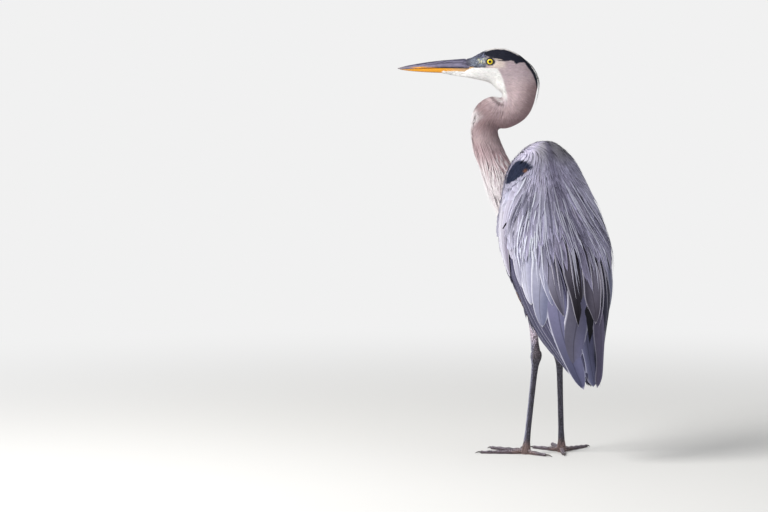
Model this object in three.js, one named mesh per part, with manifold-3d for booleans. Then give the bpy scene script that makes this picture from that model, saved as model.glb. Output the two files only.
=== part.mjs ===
// Great blue heron standing at rest, with its neck folded in an S and its head turned to its left.
// Millimetres. +Z is up, the floor is z = 0, the bird's trunk faces -Y and its left side is +X.
import * as THREE from 'three';
import { mergeVertices } from 'three/addons/utils/BufferGeometryUtils.js';
import Module from 'manifold-3d';

const wasm = await Module();
wasm.setup();

// ---- Driving dimensions -----------------------------------------------------------------------------------

const GAP = 0.35; // clear space between neighbouring pieces
const RING = 24; // points round the trunk, neck and head
const HEAD_TURN = THREE.MathUtils.degToRad(65); // how far the head looks to the bird's left
const HEAD_AWAY = 70; // how far the head's own middle plane stands to its right of the feet

// The whole bird's outline from the top of the shoulders down to the wing tips. Each row is
// [height, place of the widest point behind the feet, half width, reach forward of it, reach back of it].
const OUTLINE = [
  [597, 2, 2, 2, 2],
  [595, 2, 16, 14, 11],
  [588, 1, 32, 30, 18],
  [575, 1, 47, 45, 25],
  [556, 0, 64.5, 58, 34],
  [530, 8, 76, 77, 39],
  [500, 20, 85.5, 96, 44],
  [468, 32, 94.5, 111, 52],
  [432, 42, 101, 120, 70],
  [395, 52, 103, 123, 95],
  [360, 67, 98, 124, 99],
  [325, 80, 90, 116, 104],
  [290, 88, 79, 98, 110],
  [250, 98, 65, 87, 106],
  [215, 115, 50, 73, 98],
  [180, 156, 36, 40, 62],
  [155, 184, 29, 17, 32],
  [138, 196, 23, 11, 21],
];
const OUTLINE_POWER = 2.25;

// The trunk inside the wings, in the same columns: it follows the outline above them and ends at the vent.
const TRUNK = [
  [597, 2, 2, 2, 2],
  [595, 2, 16, 14, 11],
  [588, 1, 32, 30, 18],
  [575, 1, 47, 45, 25],
  [556, 0, 64.5, 58, 34],
  [530, 8, 75, 77, 39],
  [500, 20, 81, 96, 43],
  [468, 32, 86, 111, 51],
  [432, 42, 89, 120, 68],
  [395, 52, 90, 123, 89],
  [360, 67, 85, 124, 90],
  [325, 80, 76, 116, 90],
  [296, 92, 60, 97, 82],
  [276, 102, 42, 68, 64],
  [263, 112, 20, 34, 36],
  [260, 114, 1, 1, 1],
];

// The folded wing is a plate on the outline: [outline row, front edge, back edge, thickness], with the
// edges as angles round the bird from straight ahead, in degrees.
const WING = [
  [4.4, 64, 106, 4],
  [5, 54, 118, 11],
  [6, 52, 127, 13],
  [7, 54, 134, 12],
  [8, 57, 141, 12],
  [9, 60, 149, 11],
  [10, 62, 158, 10],
  [11, 64, 166, 9],
  [12, 65, 172, 8],
  [13, 54, 175, 6.5],
  [14, 48, 176, 5],
  [15, 43, 174, 4.2],
  [16, 40, 170, 3.6],
  [16.6, 50, 160, 3],
  [17, 74, 138, 2.4],
];
const WING_EDGE = 1.2; // the plate's thickness at its front and back edges
const WING_POINTS = 8; // points across the plate
const WING_SPREAD = 2; // how many degrees wider a wing's clear space is for each millimetre of gap

// The neck and head, from the root of the neck to the bill, laid out in the head's own plane. Each row is
// [forward, up, away to the head's right, tilt of the throat side above straight ahead in degrees,
// half depth from throat to nape, half width].
const NECK = [
  [16, 398, 24, 34, 46, 46],
  [42, 449, 40, 30, 40, 44],
  [63, 482, 52, 23, 39, 41],
  [82, 526, 64, 17, 38, 36],
  [97, 555, 70, 8, 33.5, 30],
  [108.5, 584.5, 73, 4, 29, 27],
  [114, 609.5, 73, 2, 26, 25],
  [111, 630.5, 72, 33, 28, 25],
  [102, 641, 71, 58, 29.5, 26],
  [89, 644, 70, 80, 31.5, 26],
  [75.5, 640.5, 70, 83, 28.5, 26],
  [63.5, 645.5, 70, 61, 28, 26],
  [54, 654, 70, 39.5, 29.5, 26],
  [49, 667.5, 70, 17, 31, 26],
  [48, 683.5, 70, 0, 34.5, 25.5],
  [50, 692, 70, -8, 39.5, 25],
  [55, 704, 70, -15, 41.5, 24.5],
  [64, 717, 70, -27.5, 41, 24],
  [76, 726.5, 70, -40, 40, 23.5],
  [89.5, 733, 70, -53, 38, 23],
  [102.5, 735, 70, -64, 35, 21.5],
  [117, 734, 70, -73.5, 30, 19],
  [129.5, 730.5, 70, -80, 24, 15.5],
  [140, 728, 70, -87, 19, 12.5],
];
const NECK_LENGTHS = [
  ['neck_lower', 0, 5],
  ['neck_middle', 5, 10],
  ['neck_upper', 10, 15],
];
const HEAD_ROWS = [15, 23];
const NECK_POWER = 2.1;

const EYE = { forward: 102, up: 742, side: 15.2, radius: 8.4 };

// Each half of the bill: [forward, edge where the halves meet, outer edge, half width].
const BILL_ROOT = 128;
const BILL_UPPER = [
  [BILL_ROOT, 728.5, 748, 13],
  [140, 728.6, 747, 11.5],
  [165, 728.6, 745, 9],
  [195, 728.6, 742.5, 7.2],
  [225, 727.6, 738.8, 5.6],
  [255, 726.4, 733.5, 3.6],
  [270, 726, 729.8, 2],
  [278, 726.2, 727.4, 0.6],
];
const BILL_LOWER = [
  [BILL_ROOT, 728.1, 714, 12],
  [140, 728.2, 715, 10.6],
  [165, 728.2, 717, 8.2],
  [195, 728.2, 718.3, 6.4],
  [225, 727.2, 719.6, 4.8],
  [255, 726, 722, 2.9],
  [268, 725.7, 723.9, 1.6],
  [274, 725.6, 724.8, 0.6],
];
// The feathered chin runs out under the bill: [forward, top, bottom, half width].
const CHIN = [
  [120, 722, 704, 12],
  [140, 718, 708.5, 10],
  [165, 717.5, 712.5, 7],
  [188, 718, 716, 3],
  [196, 718.2, 717.6, 0.6],
];

// The tail, a plate of feathers under the wing tips: [height, place behind the feet, half width,
// half thickness].
const TAIL = [
  [300, 181, 17, 4],
  [250, 194, 21, 2.6],
  [200, 201, 25, 1.8],
  [162, 205, 26, 1.3],
  [144, 206, 21, 1],
  [139, 206.5, 12, 0.8],
];

// The legs' joints as [out to the side, back, up]. Each length runs between two joints, and its radii follow
// as [share of the way, radius]: feathered thigh, bare shank, then tarsus with the hock and the sole's ball.
const KNEE = [36, -8, 400];
const HOCKS = { left: [21.5, 10, 187], right: [27.5, 10, 187] };
const ANKLE = [37.5, 0, 9];
const THIGH_RADII = [[0.1, 34], [0.3, 33], [0.45, 25], [0.57, 15], [0.64, 10.5], [0.66, 9]];
const SHANK_RADII = [[0.664, 7.6], [0.8, 7], [0.9, 7.4], [0.945, 8.6]];
const TARSUS_RADII = [
  [-0.06, 7.5], [-0.045, 9.4], [-0.02, 10.6], [0.02, 10.4], [0.05, 8.6], [0.1, 6.6], [0.2, 5.6],
  [0.5, 5.1], [0.8, 5.2], [0.92, 6.2], [0.98, 8], [1.02, 8.8], [1.055, 7.4],
];
const FOOT_TURN = 14; // how far out the feet head, in degrees

// Toes: [name, angle out from the foot's own heading in degrees, length, radius at its root, joints,
// claw length].
const TOES = [
  ['middle', 2, 98, 5, 4, 13],
  ['inner', -34, 74, 4.6, 3, 13],
  ['outer', 46, 86, 4.6, 5, 12],
  ['hind', 187, 50, 4.6, 2, 19],
];
const TOE_TIP = 0.62; // a toe's radius at its tip, as a share of that at its root
const TOE_PADS = 0.09; // how much a toe swells at its joints
const TOE_RISE = 3; // how much higher a toe's root stands
const SOLE = 0.7; // how far the sole is pressed flat
const CLAW_ARCH = 1.4; // how far a claw bows up
const CLAW_ROOT = 0.8; // a claw's radius at its root, as a share of the toe's
const CLAW_POINT = 0.5; // a claw's radius at its point

const COLOURS = {
  plumage: 0x8b8b9c,
  neck: 0xa8938f,
  bill_upper: 0x4d5266,
  bill_lower: 0xe09a35,
  eye: 0xf2cf1d,
  bare_leg: 0x6d6a70,
  claw: 0x2b292b,
};

// ---- Smooth curves and rings ------------------------------------------------------------------------------

// A smooth curve through rows of numbers. Row i is met at t = i, and slopes follow the neighbouring rows.
function through(rows) {
  const last = rows.length - 1;
  const slope = (i, c) => {
    const a = Math.max(i - 1, 0);
    const b = Math.min(i + 1, last);
    return (rows[b][c] - rows[a][c]) / (b - a);
  };
  return (t) => {
    const i = Math.min(Math.max(Math.floor(t), 0), last - 1);
    const x = Math.min(Math.max(t - i, 0), 1);
    return rows[i].map((p, c) => {
      const q = rows[i + 1][c];
      const m = slope(i, c);
      const n = slope(i + 1, c);
      return p + x * (m + x * (3 * (q - p) - 2 * m - n + x * (2 * (p - q) + m + n)));
    });
  };
}

// The share of a half axis that a superellipse reaches at an angle whose cosine or sine is given.
const reach = (value, power) => Math.sign(value) * Math.abs(value) ** (2 / power);

// A superellipse ring about a centre, with half axes to the front, the back and the side as vectors.
function ring(centre, front, back, side, power, points = RING) {
  return Array.from({ length: points }, (_, k) => {
    const angle = ((k + 0.5) / points) * 2 * Math.PI;
    const along = reach(Math.cos(angle), power);
    return centre
      .clone()
      .addScaledVector(along > 0 ? front : back, Math.abs(along))
      .addScaledVector(side, reach(Math.sin(angle), power));
  });
}

// A closed surface over rings of equal, even length. Each end is closed by strips across its ring.
function loft(rings) {
  const n = rings[0].length;
  const index = [];
  const quad = (a, b, c, d) => index.push(a, b, c, a, c, d);
  for (let r = 0; r < rings.length - 1; r += 1) {
    for (let k = 0; k < n; k += 1) {
      const next = (k + 1) % n;
      quad(r * n + k, r * n + next, (r + 1) * n + next, (r + 1) * n + k);
    }
  }
  const end = (rings.length - 1) * n;
  for (let k = 0; k < n / 2 - 1; k += 1) {
    quad(k, n - 1 - k, n - 2 - k, k + 1);
    quad(end + k, end + k + 1, end + n - 2 - k, end + n - 1 - k);
  }
  const geometry = new THREE.BufferGeometry();
  const places = rings.flat().flatMap((p) => p.toArray());
  geometry.setAttribute('position', new THREE.Float32BufferAttribute(places, 3));
  geometry.setIndex(index);
  return geometry;
}

// ---- Solids: manifold-3d joins and cuts the pieces --------------------------------------------------------

// A solid from a closed geometry with shared vertices, turned to face out if it faces in.
function solid(geometry) {
  const vertProperties = new Float32Array(geometry.attributes.position.array);
  const triVerts = new Uint32Array(geometry.index.array);
  const make = () => new wasm.Manifold(new wasm.Mesh({ numProp: 3, vertProperties, triVerts }));
  const first = make();
  if (first.volume() > 0) return first;
  for (let i = 0; i < triVerts.length; i += 3) {
    [triVerts[i + 1], triVerts[i + 2]] = [triVerts[i + 2], triVerts[i + 1]];
  }
  return make();
}

const heron = new THREE.Group();

// Adds a solid to the bird as a named mesh, keeping only its largest body.
function add(name, shape, colour, roughness = 0.8) {
  const whole = shape.decompose().sort((a, b) => b.volume() - a.volume())[0];
  const data = whole.getMesh();
  const geometry = new THREE.BufferGeometry();
  geometry.setAttribute('position', new THREE.Float32BufferAttribute(data.vertProperties, 3));
  geometry.setIndex(new THREE.BufferAttribute(data.triVerts, 1));
  geometry.computeVertexNormals();
  const mesh = new THREE.Mesh(geometry, new THREE.MeshStandardMaterial({ color: colour, roughness }));
  mesh.name = name;
  heron.add(mesh);
}

// ---- Trunk, wings and tail --------------------------------------------------------------------------------

const up = (z) => new THREE.Vector3(0, 0, z);

// A level ring of the trunk or of the outline at one of its rows, grown outwards by `grow`.
function levelRing([z, widest, width, front, back], power, grow) {
  return ring(
    new THREE.Vector3(0, widest, z),
    new THREE.Vector3(0, -(front + grow), 0),
    new THREE.Vector3(0, back + grow, 0),
    new THREE.Vector3(width + grow, 0, 0),
    power,
  );
}

function trunkShape(grow) {
  const rings = TRUNK.map((row) => levelRing(row, OUTLINE_POWER, grow));
  rings[0].forEach((p) => p.add(up(grow)));
  rings.at(-1).forEach((p) => p.sub(up(grow)));
  return solid(loft(rings));
}

// A point of the outline at row t and an angle round the bird, moved in towards the bird's middle by `depth`.
function onOutline(at, t, angle, depth) {
  const [z, widest, width, front, back] = at(t);
  const along = reach(Math.cos(angle), OUTLINE_POWER);
  const across = reach(Math.sin(angle), OUTLINE_POWER);
  const reachBack = along > 0 ? front : back;
  return new THREE.Vector3((width - depth) * across, widest - (reachBack - depth) * along, z);
}

// The left wing (side 1) or the right one (side -1), grown outwards by `grow`.
function wingShape(side, grow) {
  const outline = through(OUTLINE);
  const rings = [];
  WING.forEach(([row, from, to, thick]) => {
    const outer = [];
    const inner = [];
    for (let k = 0; k < WING_POINTS; k += 1) {
      const share = k / (WING_POINTS - 1);
      const spread = (share - 0.5) * WING_SPREAD * grow;
      const angle = THREE.MathUtils.degToRad(from + (to - from) * share + spread);
      const depth = WING_EDGE + (thick - WING_EDGE) * Math.sin(Math.PI * share) ** 0.7;
      outer.push(onOutline(outline, row, angle, -grow));
      inner.unshift(onOutline(outline, row, angle, depth + grow));
    }
    rings.push([...outer, ...inner].map((p) => p.multiply(new THREE.Vector3(side, 1, 1))));
  });
  rings[0].forEach((p) => p.add(up(grow)));
  rings.at(-1).forEach((p) => p.sub(up(grow)));
  return solid(loft(rings));
}

function tailShape() {
  const rings = TAIL.map(([z, back, width, thick]) => {
    const half = new THREE.Vector3(0, thick, 0);
    const side = new THREE.Vector3(width, 0, 0);
    return ring(new THREE.Vector3(0, back, z), half.clone().negate(), half, side, 2.6, 14);
  });
  return solid(loft(rings));
}

// ---- Neck, head and bill ----------------------------------------------------------------------------------

// The head's plane: forward along the bill, up, and to the bird's right of it.
const FORWARD = new THREE.Vector3(Math.sin(HEAD_TURN), -Math.cos(HEAD_TURN), 0);
const AWAY = new THREE.Vector3(-Math.cos(HEAD_TURN), -Math.sin(HEAD_TURN), 0);
const inHead = (forward, z, away = HEAD_AWAY) =>
  up(z).addScaledVector(FORWARD, forward).addScaledVector(AWAY, away);

// Lofts the neck from row `from` to row `to`, with rings half a row apart.
function neckShape(from, to, grow = 0) {
  const at = through(NECK);
  const rings = [];
  const steps = Math.round((to - from) * 2);
  for (let k = 0; k <= steps; k += 1) {
    const [forward, z, away, tilt, depth, width] = at(from + ((to - from) * k) / steps);
    const angle = THREE.MathUtils.degToRad(tilt);
    const throat = up(Math.sin(angle)).addScaledVector(FORWARD, Math.cos(angle));
    const half = throat.multiplyScalar(depth + grow);
    const side = AWAY.clone().multiplyScalar(width + grow);
    rings.push(ring(inHead(forward, z, away), half, half.clone().negate(), side, NECK_POWER, RING - 4));
  }
  return solid(loft(rings));
}

// A piece of the bill or chin, between two edges that run forward.
function wedge(rows, grow = 0) {
  const at = through(rows);
  const rings = [];
  for (let t = 0; t <= rows.length - 1; t += 0.5) {
    const [forward, inner, outer, width] = at(t);
    const centre = inHead(forward, (inner + outer) / 2);
    const half = up((outer - inner) / 2 + Math.sign(outer - inner) * grow);
    rings.push(ring(centre, half, half.clone().negate(), AWAY.clone().multiplyScalar(width + grow), 2, 10));
  }
  return solid(loft(rings));
}

function eyeShape(side, grow = 0) {
  const ball = new THREE.SphereGeometry(EYE.radius + grow, 14, 8);
  ball.deleteAttribute('uv');
  ball.deleteAttribute('normal');
  const centre = inHead(EYE.forward, EYE.up, HEAD_AWAY - side * EYE.side);
  return solid(mergeVertices(ball.translate(centre.x, centre.y, centre.z)));
}

// ---- Legs -------------------------------------------------------------------------------------------------

const sides = [['left', 1], ['right', -1]];
const legPoint = ([out, back, z], side) => new THREE.Vector3(side * out, back, z);

// A tube through stations {at, radius}, with its rings square to the line between neighbours.
function tube(stations, points) {
  const rings = stations.map(({ at, radius }, i) => {
    const before = stations[Math.max(i - 1, 0)].at;
    const after = stations[Math.min(i + 1, stations.length - 1)].at;
    const along = after.clone().sub(before).normalize();
    const aside = Math.abs(along.z) > 0.7 ? new THREE.Vector3(1, 0, 0) : new THREE.Vector3(0, 0, 1);
    const one = new THREE.Vector3().crossVectors(along, aside).normalize();
    const two = new THREE.Vector3().crossVectors(along, one).normalize();
    const front = one.multiplyScalar(radius);
    return ring(at, front, front.clone().negate(), two.multiplyScalar(radius), 2, points);
  });
  return solid(loft(rings));
}

// A straight length of leg between two joints, with radii [share along, radius].
function limb(from, to, radii, grow, points) {
  return tube(
    radii.map(([share, radius]) => ({ at: from.clone().lerp(to, share), radius: radius + grow })),
    points,
  );
}

const hockPoint = (side) => legPoint(side > 0 ? HOCKS.left : HOCKS.right, side);

function tarsusShape(side, grow) {
  const made = limb(hockPoint(side), legPoint(ANKLE, side), TARSUS_RADII, grow, 10);
  return made.trimByPlane([0, 0, 1], 0);
}

// Where a toe runs: its root at the ankle, its heading and its length over the floor.
function toeLine(side, turn, length) {
  const angle = THREE.MathUtils.degToRad(FOOT_TURN + turn);
  const heading = new THREE.Vector3(side * Math.sin(angle), -Math.cos(angle), 0);
  const root = legPoint(ANKLE, side).setZ(0);
  const at = (share) => root.clone().addScaledVector(heading, length * share);
  return { at, heading, end: root.dot(heading) + length };
}

const toeRadius = (root, joints, share) =>
  root * (1 - (1 - TOE_TIP) * share) * (1 + TOE_PADS * Math.cos(2 * Math.PI * joints * share));

function toeShape(side, [, turn, length, root, joints], grow = 0) {
  const line = toeLine(side, turn, length);
  const steps = joints * 2;
  const stations = Array.from({ length: steps + 1 }, (_, k) => {
    const share = k / steps;
    const radius = toeRadius(root, joints, share);
    const height = radius - SOLE + TOE_RISE * (1 - share) ** 6;
    return { at: line.at(share).setZ(height), radius: radius + grow };
  });
  const past = line.heading.clone().negate().toArray();
  return tube(stations, 8).trimByPlane([0, 0, 1], 0).trimByPlane(past, -line.end);
}

// A claw carries the toe on, arched over the floor and down to its point.
function clawShape(side, [, turn, length, root, joints, claw]) {
  const line = toeLine(side, turn, length);
  const start = toeRadius(root, joints, 1) - SOLE;
  const stations = Array.from({ length: 5 }, (_, k) => {
    const share = k / 4;
    const radius = CLAW_POINT + (start - CLAW_POINT) * CLAW_ROOT * (1 - share) ** 0.8;
    const height = start + CLAW_ARCH * Math.sin(Math.PI * share) - (start - CLAW_POINT) * share ** 1.6;
    return { at: line.at(1).addScaledVector(line.heading, claw * share - 1).setZ(height), radius };
  });
  return tube(stations, 6).trimByPlane([0, 0, 1], 0).trimByPlane(line.heading.toArray(), line.end + GAP);
}

// ---- The bird ---------------------------------------------------------------------------------------------

const wingCuts = sides.map(([, side]) => wingShape(side, GAP));
sides.forEach(([name, side]) => add(`wing_${name}`, wingShape(side, 0), COLOURS.plumage));
add('trunk', wingCuts.reduce((shape, cut) => shape.subtract(cut), trunkShape(0)), COLOURS.plumage);
const trunkCut = wingCuts.reduce((shape, cut) => shape.add(cut), trunkShape(GAP));
add('tail', tailShape().subtract(trunkCut), COLOURS.plumage);

const SPLIT = 0.014; // half the gap between lengths of the neck, in rows
NECK_LENGTHS.forEach(([name, from, to]) => {
  add(name, neckShape(from + SPLIT, to - SPLIT).subtract(trunkCut), COLOURS.neck);
});

const eyeCuts = sides.map(([, side]) => eyeShape(side, GAP));
const head = neckShape(HEAD_ROWS[0] + SPLIT, HEAD_ROWS[1]).add(wedge(CHIN));
add('head', eyeCuts.reduce((shape, cut) => shape.subtract(cut), head), COLOURS.neck);
sides.forEach(([name, side]) => add(`eye_${name}`, eyeShape(side), COLOURS.eye, 0.1));
const headCut = neckShape(HEAD_ROWS[0], HEAD_ROWS[1], GAP).add(wedge(CHIN, GAP));
const tip = (shape) => shape.subtract(headCut).trimByPlane(FORWARD.toArray(), NECK.at(-1)[0] + GAP);
add('bill_upper', tip(wedge(BILL_UPPER)), COLOURS.bill_upper, 0.35);
add('bill_lower', tip(wedge(BILL_LOWER)), COLOURS.bill_lower, 0.35);

sides.forEach(([name, side]) => {
  const knee = legPoint(KNEE, side);
  const hock = hockPoint(side);
  add(`thigh_${name}`, limb(knee, hock, THIGH_RADII, 0, 18).subtract(trunkCut), COLOURS.plumage);
  const shank = limb(knee, hock, SHANK_RADII, 0, 12).subtract(tarsusShape(side, GAP));
  add(`shank_${name}`, shank, COLOURS.bare_leg);
  add(`tarsus_${name}`, tarsusShape(side, 0), COLOURS.bare_leg);
  let taken = tarsusShape(side, GAP);
  TOES.forEach((toe) => {
    add(`toe_${name}_${toe[0]}`, toeShape(side, toe).subtract(taken), COLOURS.bare_leg);
    add(`claw_${name}_${toe[0]}`, clawShape(side, toe), COLOURS.claw, 0.4);
    taken = taken.add(toeShape(side, toe, GAP));
  });
});

// The origin is on the floor under the middle of the whole bird.
const middle = new THREE.Box3().setFromObject(heron).getCenter(new THREE.Vector3());
heron.position.set(-middle.x, -middle.y, 0);
heron.updateMatrixWorld(true);

export default heron;
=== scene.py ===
"""A great blue heron at rest: skin, feathers, bill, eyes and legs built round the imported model.

Metres throughout, in the row frame. The bird's trunk faces -Y, its left side is +X, and its head is turned
to its left. One closed mesh, the guide, wraps the whole outline, and every feather is laid on it: it starts
a little under the guide and its tip comes up to it, so that feathers overlap like shingles.
"""
import heapq
import math
from collections import namedtuple

import bmesh
import bpy
import numpy as np
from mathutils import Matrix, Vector
from mathutils.bvhtree import BVHTree


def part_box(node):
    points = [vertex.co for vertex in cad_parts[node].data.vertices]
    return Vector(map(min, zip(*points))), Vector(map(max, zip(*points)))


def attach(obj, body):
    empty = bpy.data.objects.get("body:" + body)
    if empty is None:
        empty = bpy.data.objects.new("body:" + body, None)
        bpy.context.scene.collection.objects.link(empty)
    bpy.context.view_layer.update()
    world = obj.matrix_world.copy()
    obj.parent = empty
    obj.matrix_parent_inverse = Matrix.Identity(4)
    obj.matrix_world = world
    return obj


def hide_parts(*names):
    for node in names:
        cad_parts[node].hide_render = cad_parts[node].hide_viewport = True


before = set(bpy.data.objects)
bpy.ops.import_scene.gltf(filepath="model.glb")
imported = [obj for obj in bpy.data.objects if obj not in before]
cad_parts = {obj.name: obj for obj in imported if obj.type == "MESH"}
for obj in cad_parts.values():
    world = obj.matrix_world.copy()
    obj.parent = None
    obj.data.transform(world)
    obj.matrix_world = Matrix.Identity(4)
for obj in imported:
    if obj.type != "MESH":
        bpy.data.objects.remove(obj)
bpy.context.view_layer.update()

SIDES = ("left", "right")
NECKS = ("neck_upper", "neck_middle", "neck_lower")
TOES = ("middle", "inner", "outer", "hind")
HEAD_NODES = ("head", "eye_left", "eye_right")
THIGHS = tuple(f"thigh_{side}" for side in SIDES)

# ---------------------------------------------------------------------------------- places on the bird
GUIDE_VOXEL = 0.003
SKIN_VOXEL = 0.0024
LEG_VOXEL = 0.0009
CLAW_VOXEL = 0.0004
GAP_GROWTH = 0.0004  # closes the thin cuts between the CAD nodes

SHELL_ANGLES = 120  # rays round the trunk at each level
SHELL_STEP = 0.004
SHELL_REACH = 0.4
SHELL_MARGIN = (0.002, 0.001)  # clear of the tail's low end and of the trunk's top
FRONT_RECESS = 0.35  # the share of the radius left between the wings' front edges, below the trunk
DOME = ((0.92, 0.0009), (0.74, 0.0019), (0.42, 0.0027))  # the shell's top: share of the last ring, height

# The trunk's own axis leans back as it goes down, towards the tips of the folded wings.
AXIS_Z = (0.138, 0.250, 0.580)
AXIS_Y = (0.179, 0.087, -0.016)


def unit(vectors):
    """The vectors at length one."""
    vectors = np.asarray(vectors, float)
    return vectors / np.maximum(np.linalg.norm(vectors, axis=-1, keepdims=True), 1e-12)


def centre(node):
    low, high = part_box(node)
    return np.array(low + high) / 2


MID_X = centre("trunk")[0]
EYES = {side: centre(f"eye_{side}") for side in SIDES}
EYE_RADIUS = (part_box("eye_left")[1].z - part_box("eye_left")[0].z) / 2
HEAD_ORIGIN = (EYES["left"] + EYES["right"]) / 2
AWAY = unit(EYES["right"] - EYES["left"])  # towards the head's right
FORWARD = np.array([-AWAY[1], AWAY[0], 0.0])
UP = np.array([0.0, 0.0, 1.0])
HEAD_AXES = np.array([FORWARD, AWAY, UP])
BILL_ROOT_AHEAD = 0.018  # ahead of the eyes
CHIN_TIP_AHEAD = 0.100
SKIN_BILL_END = 0.048  # how far skin and chin feathers run out over the bill's root
GUIDE_BILL_END = 0.098
NECK_START, NECK_STEP = 0.10, 0.006  # from the bill, over the surface
RING_LEAST = 6  # a ring of fewer vertices says too little about the neck's middle
THROAT_TURN = (0.55, 1.0)  # over this share of the neck, the throat's side turns to the bird's front
FRONT = np.array([0.0, -1.0, 0.0])

# The lie of the trunk's feathers: down, spreading from the fan's apex, and in towards the tail's tip.
FAN_APEX = np.array([MID_X, 0.045, 0.660])
FAN_SHARE, FAN_LIMITS = 0.85, {"z": (0.34, 0.45), "angle": (60, 95)}
FALL_SHARE, FALL_LIMITS = 0.95, {"angle": (45, 95), "z": (0.592, 0.560)}
TAIL_PULL, PULL_Z = (0.06, 0.72), (0.48, 0.30)  # at the shoulders and low down
TAIL_TIP = np.array([MID_X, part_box("tail")[1].y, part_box("tail")[0].z - 0.06])
TRUNK_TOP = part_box("trunk")[1].z
TRUNK_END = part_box("trunk")[0].z


def head_coords(points):
    """Forward, away (to the head's right) and up, from the point midway between the eyes."""
    return (np.asarray(points) - HEAD_ORIGIN) @ HEAD_AXES.T


def axis_y(z):
    return np.interp(z, AXIS_Z, AXIS_Y)


def round_body(points):
    """The angle round the trunk from straight ahead, in degrees, plus towards the bird's left."""
    points = np.asarray(points)
    return np.degrees(np.arctan2(points[..., 0] - MID_X, axis_y(points[..., 2]) - points[..., 1]))


def rise(x, low, high):
    """0 below low, 1 above high and smooth between. It falls where low is above high."""
    t = np.clip((np.asarray(x, float) - low) / (high - low), 0, 1)
    return t * t * (3 - 2 * t)


def inside(x, low, high, soft):
    """1 between low and high, falling to 0 over soft."""
    return rise(x, low - soft, low + soft) * rise(x, high + soft, high - soft)


def plateau(x, start, low, high, end):
    """Up from start to low, level, and down from high to end."""
    return rise(x, start, low) * rise(x, end, high)


def share_of(at, limits):
    """How far each point is inside all the limits, from 0 to 1. A limit is (from, to) for a ramp from 0 to 1,
    (low, high, soft) for a band with soft edges, or (start, low, high, end) for a band with uneven ones."""
    share = 1.0
    for key, limit in limits.items():
        share = share * {2: rise, 3: inside, 4: plateau}[len(limit)](at[key], *limit)
    return share


# ---------------------------------------------------------------------------------- mesh helpers
def new_object(name, data):
    made = bpy.data.objects.new(name, data)
    bpy.context.scene.collection.objects.link(made)
    return made


def mesh_object(name, points, faces):
    mesh = bpy.data.meshes.new(name)
    mesh.from_pydata([tuple(p) for p in points], [], [tuple(f) for f in faces])
    mesh.update()
    mesh.polygons.foreach_set("use_smooth", [True] * len(mesh.polygons))
    return new_object(name, mesh)


def tube_faces(rings, around, joined=False):
    """Four-sided faces between rings of points. Joined, the last ring meets the first."""
    return [
        (k * around + j, k * around + j2, (k + 1) % rings * around + j2, (k + 1) % rings * around + j)
        for k in range(rings if joined else rings - 1)
        for j, j2 in zip(range(around), [*range(1, around), 0])
    ]


def closed_tube(rings, around):
    """The faces of a tube with a face over each end."""
    return tube_faces(rings, around) + [
        tuple(reversed(range(around))), tuple(range((rings - 1) * around, rings * around))
    ]


def values_of(items, field, columns, kind=float):
    """One field of a mesh's vertices or edges, with a row for each."""
    flat = np.empty(len(items) * columns, dtype=kind)
    items.foreach_get(field, flat)
    return flat.reshape(-1, columns)


def points_of(mesh):
    return values_of(mesh.vertices, "co", 3)


def normals_of(mesh):
    return values_of(mesh.vertices, "normal", 3)


def edges_of(mesh):
    return values_of(mesh.edges, "vertices", 2, int)


def faces_of(mesh):
    return [tuple(p.vertices) for p in mesh.polygons]


def move_points(mesh, points):
    mesh.vertices.foreach_set("co", np.asarray(points, np.float32).ravel())
    mesh.update()


def paint(mesh, colours):
    """Stores a colour for each vertex."""
    rgba = np.concatenate([np.clip(colours, 0, 1), np.ones((len(colours), 1))], 1)
    tint = mesh.color_attributes.new("tint", "FLOAT_COLOR", "POINT")
    tint.data.foreach_set("color", rgba.astype(np.float32).ravel())


def place_piece(made, material, nodes=()):
    """Every visible piece rides on the root, and stands for its CAD nodes if it has any."""
    made.data.materials.append(material)
    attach(made, "root")
    if nodes:
        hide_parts(*nodes)
    return made


def node_solid(name, growth=0.0):
    """A CAD node's points and faces, pushed outward by growth."""
    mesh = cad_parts[name].data
    welded = {}
    keys = [tuple(np.round(p, 6)) for p in points_of(mesh)]
    index = [welded.setdefault(k, len(welded)) for k in keys]
    points = np.array(list(welded), float)
    faces = [tuple(index[v] for v in f) for f in faces_of(mesh)]
    faces = [f for f in faces if len(set(f)) == len(f)]
    if growth:
        push = np.zeros_like(points)
        for f in faces:
            a, b, c = (points[i] for i in f[:3])
            for i in f:
                push[i] += np.cross(b - a, c - a)
        points = points + unit(push) * growth
    return points, faces


def join_solids(solids):
    """Solids, each its points and faces, as one."""
    points, faces, start = [], [], 0
    for co, polygons in solids:
        points.append(co)
        faces += [tuple(i + start for i in f) for f in polygons]
        start += len(co)
    return np.vstack(points), faces


def average_neighbours(values, edges):
    """Each vertex's mean over the vertices that share an edge with it."""
    count = np.bincount(edges.ravel(), minlength=len(values))
    start, end = edges.T
    sums = [
        np.bincount(start, column[end], len(values)) + np.bincount(end, column[start], len(values))
        for column in values.T
    ]
    return np.stack(sums, 1) / np.maximum(count, 1)[:, None]


def relax(values, edges, rounds):
    """Draws each vertex's values half way to its neighbours' mean, again and again."""
    for _ in range(rounds):
        values = values + 0.5 * (average_neighbours(values, edges) - values)
    return values


def voxel_union(name, solids, voxel, rounds):
    """One smooth closed mesh round all the solids."""
    made = mesh_object(name, *join_solids(solids))
    remesh = made.modifiers.new("remesh", "REMESH")
    remesh.mode, remesh.voxel_size, remesh.use_smooth_shade = "VOXEL", voxel, True
    mesh = bpy.data.meshes.new_from_object(made.evaluated_get(bpy.context.evaluated_depsgraph_get()))
    made.modifiers.clear()
    made.data = mesh
    move_points(mesh, relax(points_of(mesh), edges_of(mesh), rounds))
    return made


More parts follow.
